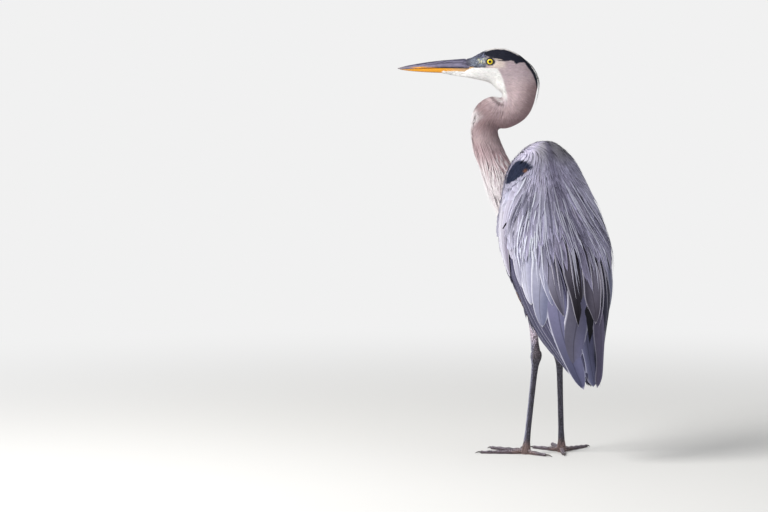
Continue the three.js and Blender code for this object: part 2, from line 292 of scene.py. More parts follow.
def cut_solid(solid, point, keep_side):
    """The part of a closed solid on one side of a plane, closed again."""
    bm = bmesh.new()
    rows = [bm.verts.new(p) for p in solid[0]]
    for f in solid[1]:
        bm.faces.new([rows[i] for i in f])
    geometry = bm.verts[:] + bm.edges[:] + bm.faces[:]
    bmesh.ops.bisect_plane(bm, geom=geometry, plane_co=point, plane_no=keep_side, clear_inner=True)
    bmesh.ops.holes_fill(bm, edges=[e for e in bm.edges if e.is_boundary], sides=0)
    bm.verts.index_update()
    made = np.array([tuple(v.co) for v in bm.verts]), [tuple(v.index for v in f.verts) for f in bm.faces]
    bm.free()
    return made


# ---------------------------------------------------------------------------------- guide
def shell_radii(levels, angles):
    """The outline's distance from the trunk's axis at each level and angle, and where the front lies open."""
    solids = [node_solid(n) for n in ("trunk", "wing_left", "wing_right", "tail")]
    bvh = BVHTree.FromPolygons(*join_solids(solids))
    radius = np.full((len(levels), len(angles)), np.nan)
    open_front = np.zeros_like(radius, bool)
    for i, z in enumerate(levels):
        origin = Vector((MID_X, axis_y(z), z))
        for j, a in enumerate(angles):
            out = Vector((math.sin(a), -math.cos(a), 0))
            hit = bvh.ray_cast(origin + out * SHELL_REACH, -out, SHELL_REACH)
            if hit[0] is not None:
                radius[i, j] = SHELL_REACH - hit[3]
        found = ~np.isnan(radius[i])
        open_front[i] = ~found & (np.abs(angles) < math.pi / 2)
        radius[i] = np.interp(angles, angles[found], radius[i][found], period=2 * math.pi)
    return radius, open_front


def shell_solid():
    """The outer skin of the trunk, folded wings and tail, as rings round the trunk's axis."""
    angles = np.radians(np.arange(SHELL_ANGLES) * 360 / SHELL_ANGLES - 180)
    levels = np.arange(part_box("tail")[0].z + SHELL_MARGIN[0], TRUNK_TOP - SHELL_MARGIN[1], SHELL_STEP)
    radius, open_front = shell_radii(levels, angles)
    for _ in range(2):
        radius = (np.roll(radius, 1, 1) + radius + np.roll(radius, -1, 1)) / 3
        radius[1:-1] = (radius[:-2] + radius[1:-1] + radius[2:]) / 3
    radius[open_front] *= FRONT_RECESS
    radius = np.vstack([radius] + [radius[-1] * share for share, _ in DOME])
    levels = np.append(levels, [levels[-1] + up for _, up in DOME])
    points = [
        (MID_X + r * math.sin(a), axis_y(z) - r * math.cos(a), z)
        for z, ring in zip(levels, radius)
        for a, r in zip(angles, ring)
    ]
    return np.array(points), closed_tube(len(levels), SHELL_ANGLES)


def flesh_solids(names):
    return [node_solid(n, GAP_GROWTH) for n in names]


def bill_base(end):
    """The bill's root, up to a distance ahead of the eyes."""
    plane = HEAD_ORIGIN + FORWARD * end
    return [cut_solid(solid, plane, -FORWARD) for solid in flesh_solids(("bill_upper", "bill_lower"))]


class Guide:
    """The mesh that feathers are laid on, with what each place on it needs to know."""

    def __init__(self):
        solids = {"trunk": [shell_solid()], "head": flesh_solids(HEAD_NODES), "thigh": flesh_solids(THIGHS)}
        solids["bill"] = bill_base(GUIDE_BILL_END)
        solids.update({n: flesh_solids([n]) for n in NECKS})
        made = voxel_union("guide", [s for group in solids.values() for s in group], GUIDE_VOXEL, 4)
        mesh = made.data
        self.points, self.normals, self.edges = points_of(mesh), normals_of(mesh), edges_of(mesh)
        self.faces = faces_of(mesh)
        bpy.data.objects.remove(made)
        self.bvh = BVHTree.FromPolygons([tuple(p) for p in self.points], self.faces)
        self.corners = np.array([f if len(f) == 4 else (f[0], f[1], f[2], f[2]) for f in self.faces])
        self.owner = self.nearest_solid(solids)
        self.reach = self.reach_from_bill()
        self.neck_line()
        self.flow = self.make_flow()
        self.face_flow = [Vector(v) for v in unit(self.flow[self.corners].mean(1))]
        self.face_normal = [Vector(v) for v in unit(self.normals[self.corners].mean(1))]

    def nearest_solid(self, solids):
        """The name of the solid that each vertex belongs to."""
        names = [name for name, group in solids.items() for solid in group for _ in solid[1]]
        bvh = BVHTree.FromPolygons(*join_solids([s for group in solids.values() for s in group]))
        return np.array([names[bvh.find_nearest(Vector(p))[2]] for p in self.points])

    def reach_from_bill(self):
        """Each vertex's distance over the surface from the bill, in metres."""
        a, b, c, d = self.corners.T
        pairs = np.vstack([self.edges, np.stack([a, c], 1), np.stack([b, d], 1)])
        pairs = pairs[pairs[:, 0] != pairs[:, 1]]
        lengths = np.linalg.norm(self.points[pairs[:, 0]] - self.points[pairs[:, 1]], axis=1)
        near = [[] for _ in self.points]
        for (i, j), length in zip(pairs.tolist(), lengths.tolist()):
            near[i].append((j, length))
            near[j].append((i, length))
        ahead = head_coords(self.points)[:, 0]
        reach = np.full(len(self.points), np.inf).tolist()
        queue = []
        for i in np.flatnonzero(np.isin(self.owner, ("head", "bill")) & (ahead > BILL_ROOT_AHEAD)):
            reach[i] = CHIN_TIP_AHEAD - ahead[i]
            queue.append((reach[i], int(i)))
        heapq.heapify(queue)
        while queue:
            here, i = heapq.heappop(queue)
            if here > reach[i]:
                continue
            for j, length in near[i]:
                if here + length < reach[j]:
                    reach[j] = here + length
                    heapq.heappush(queue, (reach[j], j))
        return relax(np.array(reach)[:, None], self.edges, 8)[:, 0]

    def neck_line(self):
        """The neck's centre line by reach, and each vertex's angle round it from the throat, in degrees."""
        on_neck = np.isin(self.owner, NECKS + ("head",))
        steps = np.arange(NECK_START, self.reach[np.isin(self.owner, NECKS)].max(), NECK_STEP)
        line, last = [], None
        for r in steps:
            ring = on_neck & (np.abs(self.reach - r) < NECK_STEP)
            last = self.points[ring].mean(0) if ring.sum() > RING_LEAST else last
            line.append(last)
        line = np.array(line)
        for _ in range(6):
            line[1:-1] = (line[:-2] + 2 * line[1:-1] + line[2:]) / 4
        tangents = unit(np.gradient(line, axis=0))
        throat, throats = -UP, []
        for k, t in enumerate(tangents):
            to_front = rise(k / len(tangents), *THROAT_TURN)
            throat = unit(throat - t * (throat @ t))
            throats.append(unit(throat * (1 - to_front) + unit(FRONT - t * (FRONT @ t)) * to_front))
        throats = np.array(throats)
        index = np.clip(np.rint((self.reach - steps[0]) / NECK_STEP).astype(int), 0, len(steps) - 1)
        out = self.points - line[index]
        side = np.cross(tangents[index], throats[index])
        self.throat_angle = np.degrees(np.arctan2((out * side).sum(1), (out * throats[index]).sum(1)))
        self.neck_span = (steps[0], steps[-1])

    def make_flow(self):
        """The lie of the feathers: away from the bill, and on the trunk drawn in towards the tail's tip."""
        grown = np.zeros_like(self.points)
        for corner in ([0, 1, 2], [0, 2, 3]):
            index = self.corners[:, corner]
            p, g = self.points[index], self.reach[index]
            normal = np.cross(p[:, 1] - p[:, 0], p[:, 2] - p[:, 0])
            area = np.maximum((normal**2).sum(1, keepdims=True), 1e-18)
            slope = sum(g[:, [i]] * np.cross(normal, p[:, (i + 2) % 3] - p[:, (i + 1) % 3]) for i in range(3))
            for i in range(3):
                np.add.at(grown, index[:, i], slope / area)
        flow = unit(relax(unit(grown), self.edges, 8))
        on_trunk = relax((self.owner == "trunk").astype(float)[:, None], self.edges, 14)
        angle, z = np.abs(round_body(self.points))[:, None], self.points[:, [2]]
        downhill = -UP - self.normals * (self.normals @ -UP)[:, None]
        fan = self.points - FAN_APEX
        fan = fan - self.normals * (fan * self.normals).sum(1, keepdims=True)
        at = {"angle": angle, "z": z}
        spread, fall = FAN_SHARE * share_of(at, FAN_LIMITS), on_trunk * share_of(at, FALL_LIMITS) * FALL_SHARE
        flow = unit(flow * (1 - fall) + unit(unit(downhill) * (1 - spread) + unit(fan) * spread) * fall)
        pull = on_trunk * (TAIL_PULL[0] + (TAIL_PULL[1] - TAIL_PULL[0]) * rise(z, *PULL_Z))
        flow = unit(flow * (1 - pull) + unit(TAIL_TIP - self.points) * pull)
        flow = flow - self.normals * (flow * self.normals).sum(1, keepdims=True)
        return unit(relax(unit(flow), self.edges, 6))

    def at(self, points):
        """The nearest vertex to each point, through the nearest face."""
        found = []
        for p in points:
            face = self.faces[self.bvh.find_nearest(Vector(p))[2]]
            found.append(min(face, key=lambda v: ((self.points[v] - p) ** 2).sum()))
        return np.array(found)

    def nearest(self, points):
        """The nearest place on the surface to each point, and the outward direction there."""
        flat = np.asarray(points).reshape(-1, 3)
        places, outward = np.empty_like(flat), np.empty_like(flat)
        for i, p in enumerate(flat):
            place, _normal, face, _distance = self.bvh.find_nearest(Vector(p))
            places[i], outward[i] = place, self.face_normal[face]
        return places.reshape(np.shape(points)), outward.reshape(np.shape(points))

    def trace(self, root, length, steps):
        """Points and outward normals along the lie of the feathers from root."""
        place, points, normals = Vector(root), [], []
        for _ in range(steps + 1):
            place, _normal, face, _distance = self.bvh.find_nearest(place)
            points.append(place)
            normals.append(self.face_normal[face])
            place = place + self.face_flow[face] * (length / steps)
        return points, normals


guide = Guide()


# ---------------------------------------------------------------------------------- markings
# Linear colours.
# Black, laid as painted shade over the back and right side of the trunk's top.
PAINTED_SHADE = (0, 0, 0)
BLACK = (0.018, 0.020, 0.034)
WHITE = (0.94, 0.93, 0.92)
CREAM = (0.80, 0.69, 0.62)
CHEEK = (0.52, 0.42, 0.455)
NECK = (0.56, 0.44, 0.46)
NECK_BEND = (0.285, 0.185, 0.195)
NECK_LOW = (0.56, 0.40, 0.43)
NECK_FOOT = (0.72, 0.60, 0.66)
NAPE = (0.80, 0.66, 0.69)
FORENECK = (0.85, 0.81, 0.83)
STREAK = (0.085, 0.05, 0.055)
LORE_DARK = (0.07425, 0.08525, 0.11275)
LORE_PALE = (0.2565, 0.2945, 0.3895)
LORE_YELLOW = (0.78, 0.76, 0.44)
FOREHEAD = (0.12, 0.13, 0.20)
FOREHEAD_MID = (0.264, 0.286, 0.44)
FOREHEAD_PALE = (0.50, 0.51, 0.62)
MANTLE = (0.40, 0.385, 0.445)
# A painted highlight on the top of the left shoulder and down the left side of the back.
MANTLE_HIGHLIGHT = (0.68, 0.65, 0.81)
MANTLE_MID = (0.345, 0.33, 0.46)
BACK_LOW = (0.235, 0.225, 0.335)
BACK_DARK = (0.205, 0.19, 0.285)
WING_PALE = (0.44, 0.43, 0.55)
WING_EDGE_PALE = (0.66, 0.64, 0.75)
NAVY = (0.022, 0.028, 0.060)
RUST = (0.24, 0.105, 0.055)
RUST_DARK = (0.108, 0.04725, 0.02475)
DUSKY = (0.085, 0.080, 0.125)
BELLY_BLACK = (0.035, 0.035, 0.045)
BILL_DARK = (0.070, 0.066, 0.112)
BILL_STREAK = (0.32, 0.29, 0.42)
BILL_YELLOW = (0.84, 0.36, 0.022)
BILL_PALE = (0.66, 0.42, 0.21)
BILL_TIP = (0.24, 0.19, 0.19)

# The lower edge of the black head stripe: millimetres ahead of the eye and above it.
STRIPE_AHEAD = (-92, -89.5, -86, -79.5, -71, -65, -54.5, -48.8, -45, -39, -28, -16.5, -7, 6, 12)
STRIPE_ABOVE = (-72, -54, -38, -22, -11.5, -2.5, -2.7, -5.5, 0.2, 2.1, 0.2, 1.1, 4.9, 9.7, 13.5)
# The upper edge of the white chin feathers along the bill: millimetres ahead of the eye and above it.
CHIN_AHEAD = (20, 31, 38, 44, 60, 95)
CHIN_ABOVE = (-12.0, -12.2, -14.5, -17.0, -18.0, -17.0)
# The rear edge of the white throat: millimetres above the eye and ahead of it.
THROAT_ABOVE = (-68, -49, -34, -21, -10)
THROAT_AHEAD = (-31.7, -28, -24, -18.4, -12)
# The dark patch on the bend of the wing: angle round the body, lower and upper edge in millimetres.
PATCH_ANGLE = (68, 72, 82, 92, 106, 117)
PATCH_LOW = (524, 515, 518, 524, 540, 549)
PATCH_HIGH = (524, 540, 558, 563, 560, 550)
PATCH_RIGHT_END = 84  # the right wing's patch is partly covered by the scapulars


# ---------------------------------------------------------------------------------- how colours are laid
def blend(a, b, share):
    """From colour a to colour b, by a share for each point."""
    a, b = np.asarray(a, float), np.asarray(b, float)
    return a + (b - a) * np.asarray(share)[..., None]


def times(colour, factor):
    """A darker or brighter colour."""
    return np.array(colour) * factor


def lay(colour, at, marks):
    """Washes of colour, each over the last. A mark is a colour, its strength and its limits."""
    for mark, strength, limits in marks:
        colour = blend(colour, mark, strength * share_of(at, limits))
    return colour


def waves(phase):
    return 0.5 + 0.5 * np.sin(phase)


def speckle(points, size):
    """A cheap even scatter of values from 0 to 1, for colours that break up at their edges."""
    cell = np.floor(points / size)
    value = np.sin(cell @ np.array([12.9898, 78.233, 37.719])) * 43758.5453
    return value - np.floor(value)


# ---------------------------------------------------------------------------------- trunk's markings, with painted light and shade
# In these tables, turn is the angle round the body with the left side plus, angle is the same without its
# sign, both in degrees, z is the height in metres, and left is 1 on the bird's left side and 0 on its right.
BACK_MARKS = (
    (MANTLE, 1.0, {"z": (0.54, 0.585)}),
    (BACK_LOW, 1.0, {"z": (0.40, 0.28)}),
    # The back is darker towards its middle, partly its own colour and partly painted shade.
    (BACK_DARK, 0.8, {"angle": (140, 178)}),
    # On the left side only, the top of the mantle and the back below it are painted paler: a painted highlight.
    (MANTLE_HIGHLIGHT, 1.0, {"z": (0.545, 0.575), "turn": (70, 118, 16)}),
    (MANTLE_HIGHLIGHT, 0.40, {"turn": (92, 150, 22), "z": (0.490, 0.560, 0.030)}),
    # Behind and on the right, the trunk's top is darkened towards black: painted shade.
    (PAINTED_SHADE, 0.42, {"z": (0.545, 0.575), "turn": (150, 195, 290, 330)}),
    (WING_PALE, 1.0, {"angle": (52, 108, 16), "z": (0.56, 0.52)}),
    # The left wing's front edge alone is paler: a pale edge with a painted highlight over it.
    (WING_EDGE_PALE, 0.8, {"angle": (56, 74, 8), "z": (0.50, 0.47), "left": (0, 1)}),
)
FLANK_MARKS = (
    (WHITE, 0.72, {"angle": (26, 14)}),
    (FORENECK, 0.9, {"ragged_z": (0.440, 0.505)}),
    (WHITE, 1.0, {"z": (0.31, 0.27)}),
)
FLANK_LIMITS = {"ragged_angle": (51, 39), "z": (0.572, 0.556)}
BEND_MARKS = ((RUST, 0.8, {"angle": (103, 108, 2.0), "z": (0.540, 0.546, 0.0016), "left": (0, 1)}),)
THIGH_MARKS = (
    (RUST_DARK, 1.0, {"fine": (0.35, 0.9)}),
    (CREAM, 0.10, {"coarse": (0.7, 0.95)}),
    # Where the thigh goes in under the wing it is darkened: painted shade.
    (DUSKY, 1.0, {"angle": (52, 64)}),
)
RAGGED_CELL = 0.006
RAGGED_ANGLE, RAGGED_Z = 9, 0.03  # how far the flank's borders wander
THIGH_CELLS = {"fine": 0.007, "coarse": 0.009}


def in_patch(points):
    """1 on the dark patch at the bend of either wing."""
    angle, z = np.abs(round_body(points)), points[:, 2] * 1000
    last = np.where(points[:, 0] > MID_X, PATCH_ANGLE[-1], PATCH_RIGHT_END)
    low, high = np.interp(angle, PATCH_ANGLE, PATCH_LOW), np.interp(angle, PATCH_ANGLE, PATCH_HIGH)
    return inside(z, low, high, 1.0) * ((angle > PATCH_ANGLE[0]) & (angle < last))


def trunk_colours(points):
    turn, z = round_body(points), points[:, 2]
    ragged = speckle(points, RAGGED_CELL) - 0.5
    at = {"turn": turn % 360, "angle": np.abs(turn), "z": z, "left": points[:, 0] > MID_X}
    at |= {"ragged_angle": np.abs(turn) + RAGGED_ANGLE * ragged, "ragged_z": z + RAGGED_Z * ragged}
    back, flank = lay(MANTLE_MID, at, BACK_MARKS), lay(BELLY_BLACK, at, FLANK_MARKS)
    colour = blend(back, flank, share_of(at, FLANK_LIMITS))
    return lay(blend(colour, NAVY, in_patch(points)), at, BEND_MARKS)


def thigh_colours(points):
    at = {key: speckle(points, cell) for key, cell in THIGH_CELLS.items()}
    return lay(RUST, at | {"angle": np.abs(round_body(points))}, THIGH_MARKS)


# ---------------------------------------------------------------------------------- neck's markings, with painted light and shade
# down is the share of the way from head to trunk, and angle is degrees round the neck from the throat.
NECK_MARKS = (
    # The bend of the neck is darker, partly its own colour and partly painted shade under the bend.
    (NECK_BEND, 1.0, {"down": (0.25, 0.38, 0.11)}),
    (NECK_LOW, 1.0, {"down": (0.40, 0.52)}),
    (NECK_FOOT, 1.0, {"down": (0.56, 0.68)}),
    # The nape and a band on the upper foreneck are paler, partly their own colour and partly a painted highlight.
    (NAPE, 0.75, {"angle": (62, 125), "down": (0.22, 0.10)}),
    (NAPE, 0.7, {"down": (0.13, 0.20, 0.03), "angle": (70, 20)}),
)
NECK_LINES = (
    (STREAK, 0.9, {"angle": (16, 27, 4.0), "down": (0.31, 0.62, 0.05), "blots": (0.42, 0.75)}),
    # A pale line, then a dark line in the fold of the upper neck; the dark line is painted shade in the crease.
    (WHITE, 0.6, {"down": (0.142, 0.166, 0.006), "angle": (52, 34)}),
    (STREAK, 0.55, {"down": (0.172, 0.190, 0.005), "angle": (62, 40)}),
)
STRIPE_ANGLE = 34  # the half width of the white stripe down the foreneck, in degrees
STRIPE_GAPS = {"streaks": (0.4, 0.8), "down": (0.62, 0.75), "angle": (12, 40)}  # where the pink cuts into it


def white_stripe(at):
    """The stripe narrows below the bend, then widens and breaks up into streaks towards the breast."""
    down = at["down"]
    edge = STRIPE_ANGLE - 16 * rise(down, 0.34, 0.42) + 50 * rise(down, 0.66, 0.98)
    stripe = rise(at["angle"], edge + 8, edge - 14 - 25 * rise(down, 0.64, 0.9)) * rise(down, 0.27, 0.35)
    return stripe * (1 - 0.75 * share_of(at, STRIPE_GAPS))


def neck_colours(nearest):
    """nearest is the guide's vertex nearest to each point."""
    reach, turn = guide.reach[nearest], guide.throat_angle[nearest]
    start, end = guide.neck_span
    at = {"down": (reach - start) / (end - start), "angle": np.abs(turn)}
    at["streaks"] = waves(turn * 0.55 + 1.4 * np.sin(reach * 40))
    at["blots"] = waves(reach * 780 + 2.4 * np.sin(reach * 310) + turn * 0.11)
    colour = blend(lay(NECK, at, NECK_MARKS), FORENECK, white_stripe(at))
    return lay(colour, at, NECK_LINES)


# ---------------------------------------------------------------------------------- head's markings
# ahead and above are millimetres from the eye and side from the head's middle. grain runs from 0 to 1.
CROWN = {"side": (8.5, 6.0), "ahead": (-80, -38), "above": (8, 14)}
STRIPE = {"over_stripe": (-0.9, 0.9), "loose_ahead": (20, 11)}
CHEEK_MARK = (CREAM, 1.0, {"ahead": (-26, 0, 9), "above": (-12, 2, 5)})
BELOW_HEAD = {"above": (-22, -50), "ahead": (-20, -45)}
FORE = {"ahead": (1, 12), "above": (-3, 4)}
FORE_HIGH = FORE | {"high": (2, 7)}
LORE_MARKS = ((LORE_PALE, 1.0, {"streak": (0.25, 0.8), "above": (-10.5, -8)}),)
FLECKS = {"grain": (0.62, 0.85), "ahead": (8, 24, 5)}
FLECKS_BY_EYE = {"grain": (0.2, 0.6), "ahead": (5, 13, 3)}
LORES = {"ragged_ahead": (5, 10), "ragged_above": (-12, 6, 1.5)}
EYE_RING_MARK = (BLACK, 1.0, {"from_eye": (10.2, 8.8)})
BROW = {"over_brow": (5.6, 7.4, 0.7), "ahead": (-22, -5, 3)}
THROAT = {"above": (-11.6, -13.0), "over_throat": (-2.5, 2.5)}
GAPE_MARKS = (
    (BILL_DARK, 1.0, {"ahead": (33, 44), "over_gape": (0, 0.6)}),
    (BILL_PALE, 1.0, {"ahead": (30, 33), "over_gape": (0, -0.6)}),
)
GAPE_LINE = 0.55
HEAD_CELL = 0.0016
CHIN_FROM = 28
HEAD_FADE = -0.085  # below this, in metres from the eye, the neck's own colours start


def head_places(points):
    ahead, side, above = head_coords(points).T * 1000
    grain = speckle(points, HEAD_CELL)
    return {
        "ahead": ahead, "side": np.abs(side), "above": above, "high": above, "grain": grain,
        "loose_ahead": ahead + 9 * (grain - 0.5),
        "ragged_ahead": ahead + 5 * (grain - 0.5),
        "ragged_above": above + 2 * (grain - 0.5),
        "from_eye": np.hypot(ahead, above * 1.22),
        "over_brow": above - 0.16 * ahead,
        "over_gape": above - gape(ahead),
        "over_stripe": above - np.interp(ahead, STRIPE_AHEAD, STRIPE_ABOVE),
        "over_throat": ahead - np.interp(above, THROAT_ABOVE, THROAT_AHEAD),
        "strands": waves(above * 1.7 - ahead * 0.5 + 1.4 * np.sin(ahead * 0.6) + 1.5 * grain),
        "streak": waves(above * 2.1 + 1.1 * np.sin(ahead * 0.45) + 2.0 * grain),
    }


def forehead_and_lores(colour, at):
    """Grey strands and black flecks over the bill's root, and slaty lores with yellow flecks."""
    strands = blend(FOREHEAD, FOREHEAD_PALE, rise(at["strands"], 0.5, 0.95))
    colour = blend(colour, strands, share_of(at, FORE))
    dark = blend(BLACK, FOREHEAD_MID, rise(at["grain"], 0.55, 0.9))
    colour = blend(colour, dark, share_of(at, FORE_HIGH) * 0.8)
    flecks = np.maximum(share_of(at, FLECKS), 0.7 * share_of(at, FLECKS_BY_EYE))
    lores = blend(lay(LORE_DARK, at, LORE_MARKS), LORE_YELLOW, flecks * rise(at["above"], -6, -1))
    return lay(blend(colour, lores, share_of(at, LORES)), at, (EYE_RING_MARK,))


def head_colours(points, below):
    """below is what the neck's colours say, taken up where the head runs into the neck."""
    at = head_places(points)
    colour = blend(lay(CHEEK, at, (CHEEK_MARK,)), below, share_of(at, BELOW_HEAD))
    colour = forehead_and_lores(colour, at)
    crown = share_of(at, CROWN)
    colour = blend(colour, BLACK, share_of(at, STRIPE) * (1 - crown))
    colour = blend(colour, WHITE, crown * 0.9 * rise(at["ahead"], 14, 2))
    colour = lay(blend(colour, CREAM, 0.8 * share_of(at, BROW) * (1 - crown)), at, GAPE_MARKS)
    line = np.exp(-((at["over_gape"] / GAPE_LINE) ** 2)) * rise(at["ahead"], 3, 12)
    chin = rise(at["above"] - chin_edge(at["ahead"]), 0.8, -0.8)
    throat = share_of(at, THROAT) * rise(at["above"], -78, -66)
    return blend(blend(colour, BLACK, 0.8 * line), WHITE, np.where(at["ahead"] > CHIN_FROM, chin, throat))


def gape(ahead):
    """The height of the line between the halves of the bill and behind it, in millimetres above the eye."""
    return -10.4 - 0.008 * (44 - ahead)


def chin_edge(ahead):
    """How high the white chin feathers reach on the bill, in millimetres above the eye."""
    return np.interp(ahead, CHIN_AHEAD, CHIN_ABOVE)


def plumage(places):
    """The colour of the coat and the skin under it at each point."""
    points = np.reshape(places, (-1, 3)).astype(float)
    nearest = guide.at(points)
    owner = guide.owner[nearest]
    neck = neck_colours(nearest)
    nape = (owner == "neck_upper") & (head_coords(points)[:, 2] > HEAD_FADE)
    near_head = np.isin(owner, ("head", "bill")) | nape
    colour = np.where(np.isin(owner, NECKS)[:, None], neck, trunk_colours(points))
    colour = np.where(near_head[:, None], head_colours(points, neck), colour)
    return np.where((owner == "thigh")[:, None], thigh_colours(points), colour).reshape(np.shape(places))


# ---------------------------------------------------------------------------------- feathers
UNDER_SHADE = 0.8  # a long feather's underside against its upper side
SHARP_ANGLE = math.radians(70)
CAP_WIDTH = 0.12  # the root's cap on the vane's own map
TUFT_PATCH = (0.003, 0.003)  # one tuft on the bake's map
FOLLOW_WIDTH = 0.008  # the edges of feathers wider than this are laid on the guide too
LID_REACH = 0.0086  # feathers keep this clear of the eye's axis
HEAD_MIDDLE = 0.006  # nearer to the head's middle than this, they are over the eyes, not beside them
TINT_SPREAD = 0.010  # how far the shades' hues differ


def vane_corners(rings, around):
    """The faces of one vane, closed at the root and drawn to a point: all their corners in a row, and where
    each face starts."""
    last, tip = (rings - 1) * around, rings * around
    faces = tube_faces(rings, around) + [(last + j, last + (j + 1) % around, tip) for j in range(around)]
    faces.append(tuple(reversed(range(around))))
    return np.concatenate(faces), np.cumsum([0] + [len(f) for f in faces[:-1]])


def profile(kind, s):
    """The half width along a feather, as a share of the widest, for s from root to tip."""
    grow = 0.45 + 0.55 * rise(s, 0.0, 0.35)

    def past(start):
        return np.clip((s - start) / (1 - start), 0, 1)

    if kind == "round":
        return grow * np.sqrt(1 - past(0.62) ** 2.2)
    if kind == "curled":
        return grow * (1 - 0.25 * rise(s, 0.5, 0.8)) * np.sqrt(1 - past(0.88) ** 2)
    if kind == "blade":
        return grow * (1 - past(0.55) ** 2.6) ** 0.8
    if kind == "leaf":
        return grow * (1 - past(0.40) ** 1.9) ** 0.85
    return grow * (1 - past(0.15) ** 1.3)  # "lance"


def vane_mesh(name, points, corners, starts):
    """The same faces over again for each row of points."""
    vanes, size, _ = points.shape
    shift = np.arange(vanes)[:, None]
    loops = (corners[None] + shift * size).ravel()
    mesh = bpy.data.meshes.new(name)
    mesh.vertices.add(vanes * size)
    mesh.vertices.foreach_set("co", points.astype(np.float32).ravel())
    mesh.loops.add(len(loops))
    mesh.loops.foreach_set("vertex_index", loops.astype(np.int32))
    mesh.polygons.add(vanes * len(starts))
    mesh.polygons.foreach_set("loop_start", (starts[None] + shift * len(corners)).ravel().astype(np.int32))
    mesh.update(calc_edges=True)
    mesh.validate()
    mesh.polygons.foreach_set("use_smooth", [True] * len(mesh.polygons))
    mesh.set_sharp_from_angle(angle=SHARP_ANGLE)
    return mesh


def vane_object(name, grid, below, tints, roots, patch, material, nodes=()):
    """One piece from many vanes. grid is (vanes, stations, columns, 3), below the sunken points or None."""
    vanes, stations, columns, _ = grid.shape
    rings, shade, across = grid[:, :-1], tints[:, :-1], np.linspace(0, 1, columns)
    if below is not None:
        rings = np.concatenate([rings, below[:, :-1]], 2)
        shade = np.concatenate([shade, shade[:, :, columns - 2 : 0 : -1] * UNDER_SHADE], 2)
        across = np.concatenate([across, np.linspace(1, 0, below.shape[2] + 2)[1:-1]])
    middle = columns // 2
    corners, starts = vane_corners(stations - 1, len(across))
    points = np.concatenate([rings.reshape(vanes, -1, 3), grid[:, -1:, middle]], 1)
    mesh = vane_mesh(name, points, corners, starts)

    along = np.linspace(0, 1, stations)[:-1]
    vane_uv = np.vstack([np.stack(np.meshgrid(across, along), -1).reshape(-1, 2), [0.5, 1.0]])[corners]
    cap = np.arange(len(corners) - starts[-1])
    vane_uv[starts[-1] :, 1] += CAP_WIDTH * (cap % 2)
    baked_uv = roots[:, None] + (vane_uv[None] - 0.5) * np.asarray(patch).reshape(-1, 1, 2)
    for layer, uv in (("vane", np.tile(vane_uv, (vanes, 1))), ("OFBake", baked_uv)):
        mesh.uv_layers.new(name=layer).data.foreach_set("uv", uv.astype(np.float32).ravel())
    paint(mesh, np.concatenate([shade.reshape(vanes, -1, 3), tints[:, -1:, middle]], 1).reshape(-1, 3))
    return place_piece(new_object(name, mesh), material, nodes)


def unwrap(points):
    """A place on the flattened skin, from 0 to 1: the angle round it, and the reach from the bill."""
    nearest = guide.at(points)
    round_neck = (guide.throat_angle[nearest] / 360) % 1
    round_trunk = (round_body(points) / 360) % 1
    on_trunk = np.isin(guide.owner[nearest], ("trunk", "thigh"))
    flat = np.stack([np.where(on_trunk, round_trunk, round_neck), guide.reach[nearest]], 1)
    low, high = flat.min(0), flat.max(0)
    return 0.01 + 0.98 * (flat - low) / np.maximum(high - low, 1e-6)


def smooth_path(path, rounds=2):
    path = np.array(path)
    for _ in range(rounds):
        path[1:-1] = (path[:-2] + 2 * path[1:-1] + path[2:]) / 4
    return path


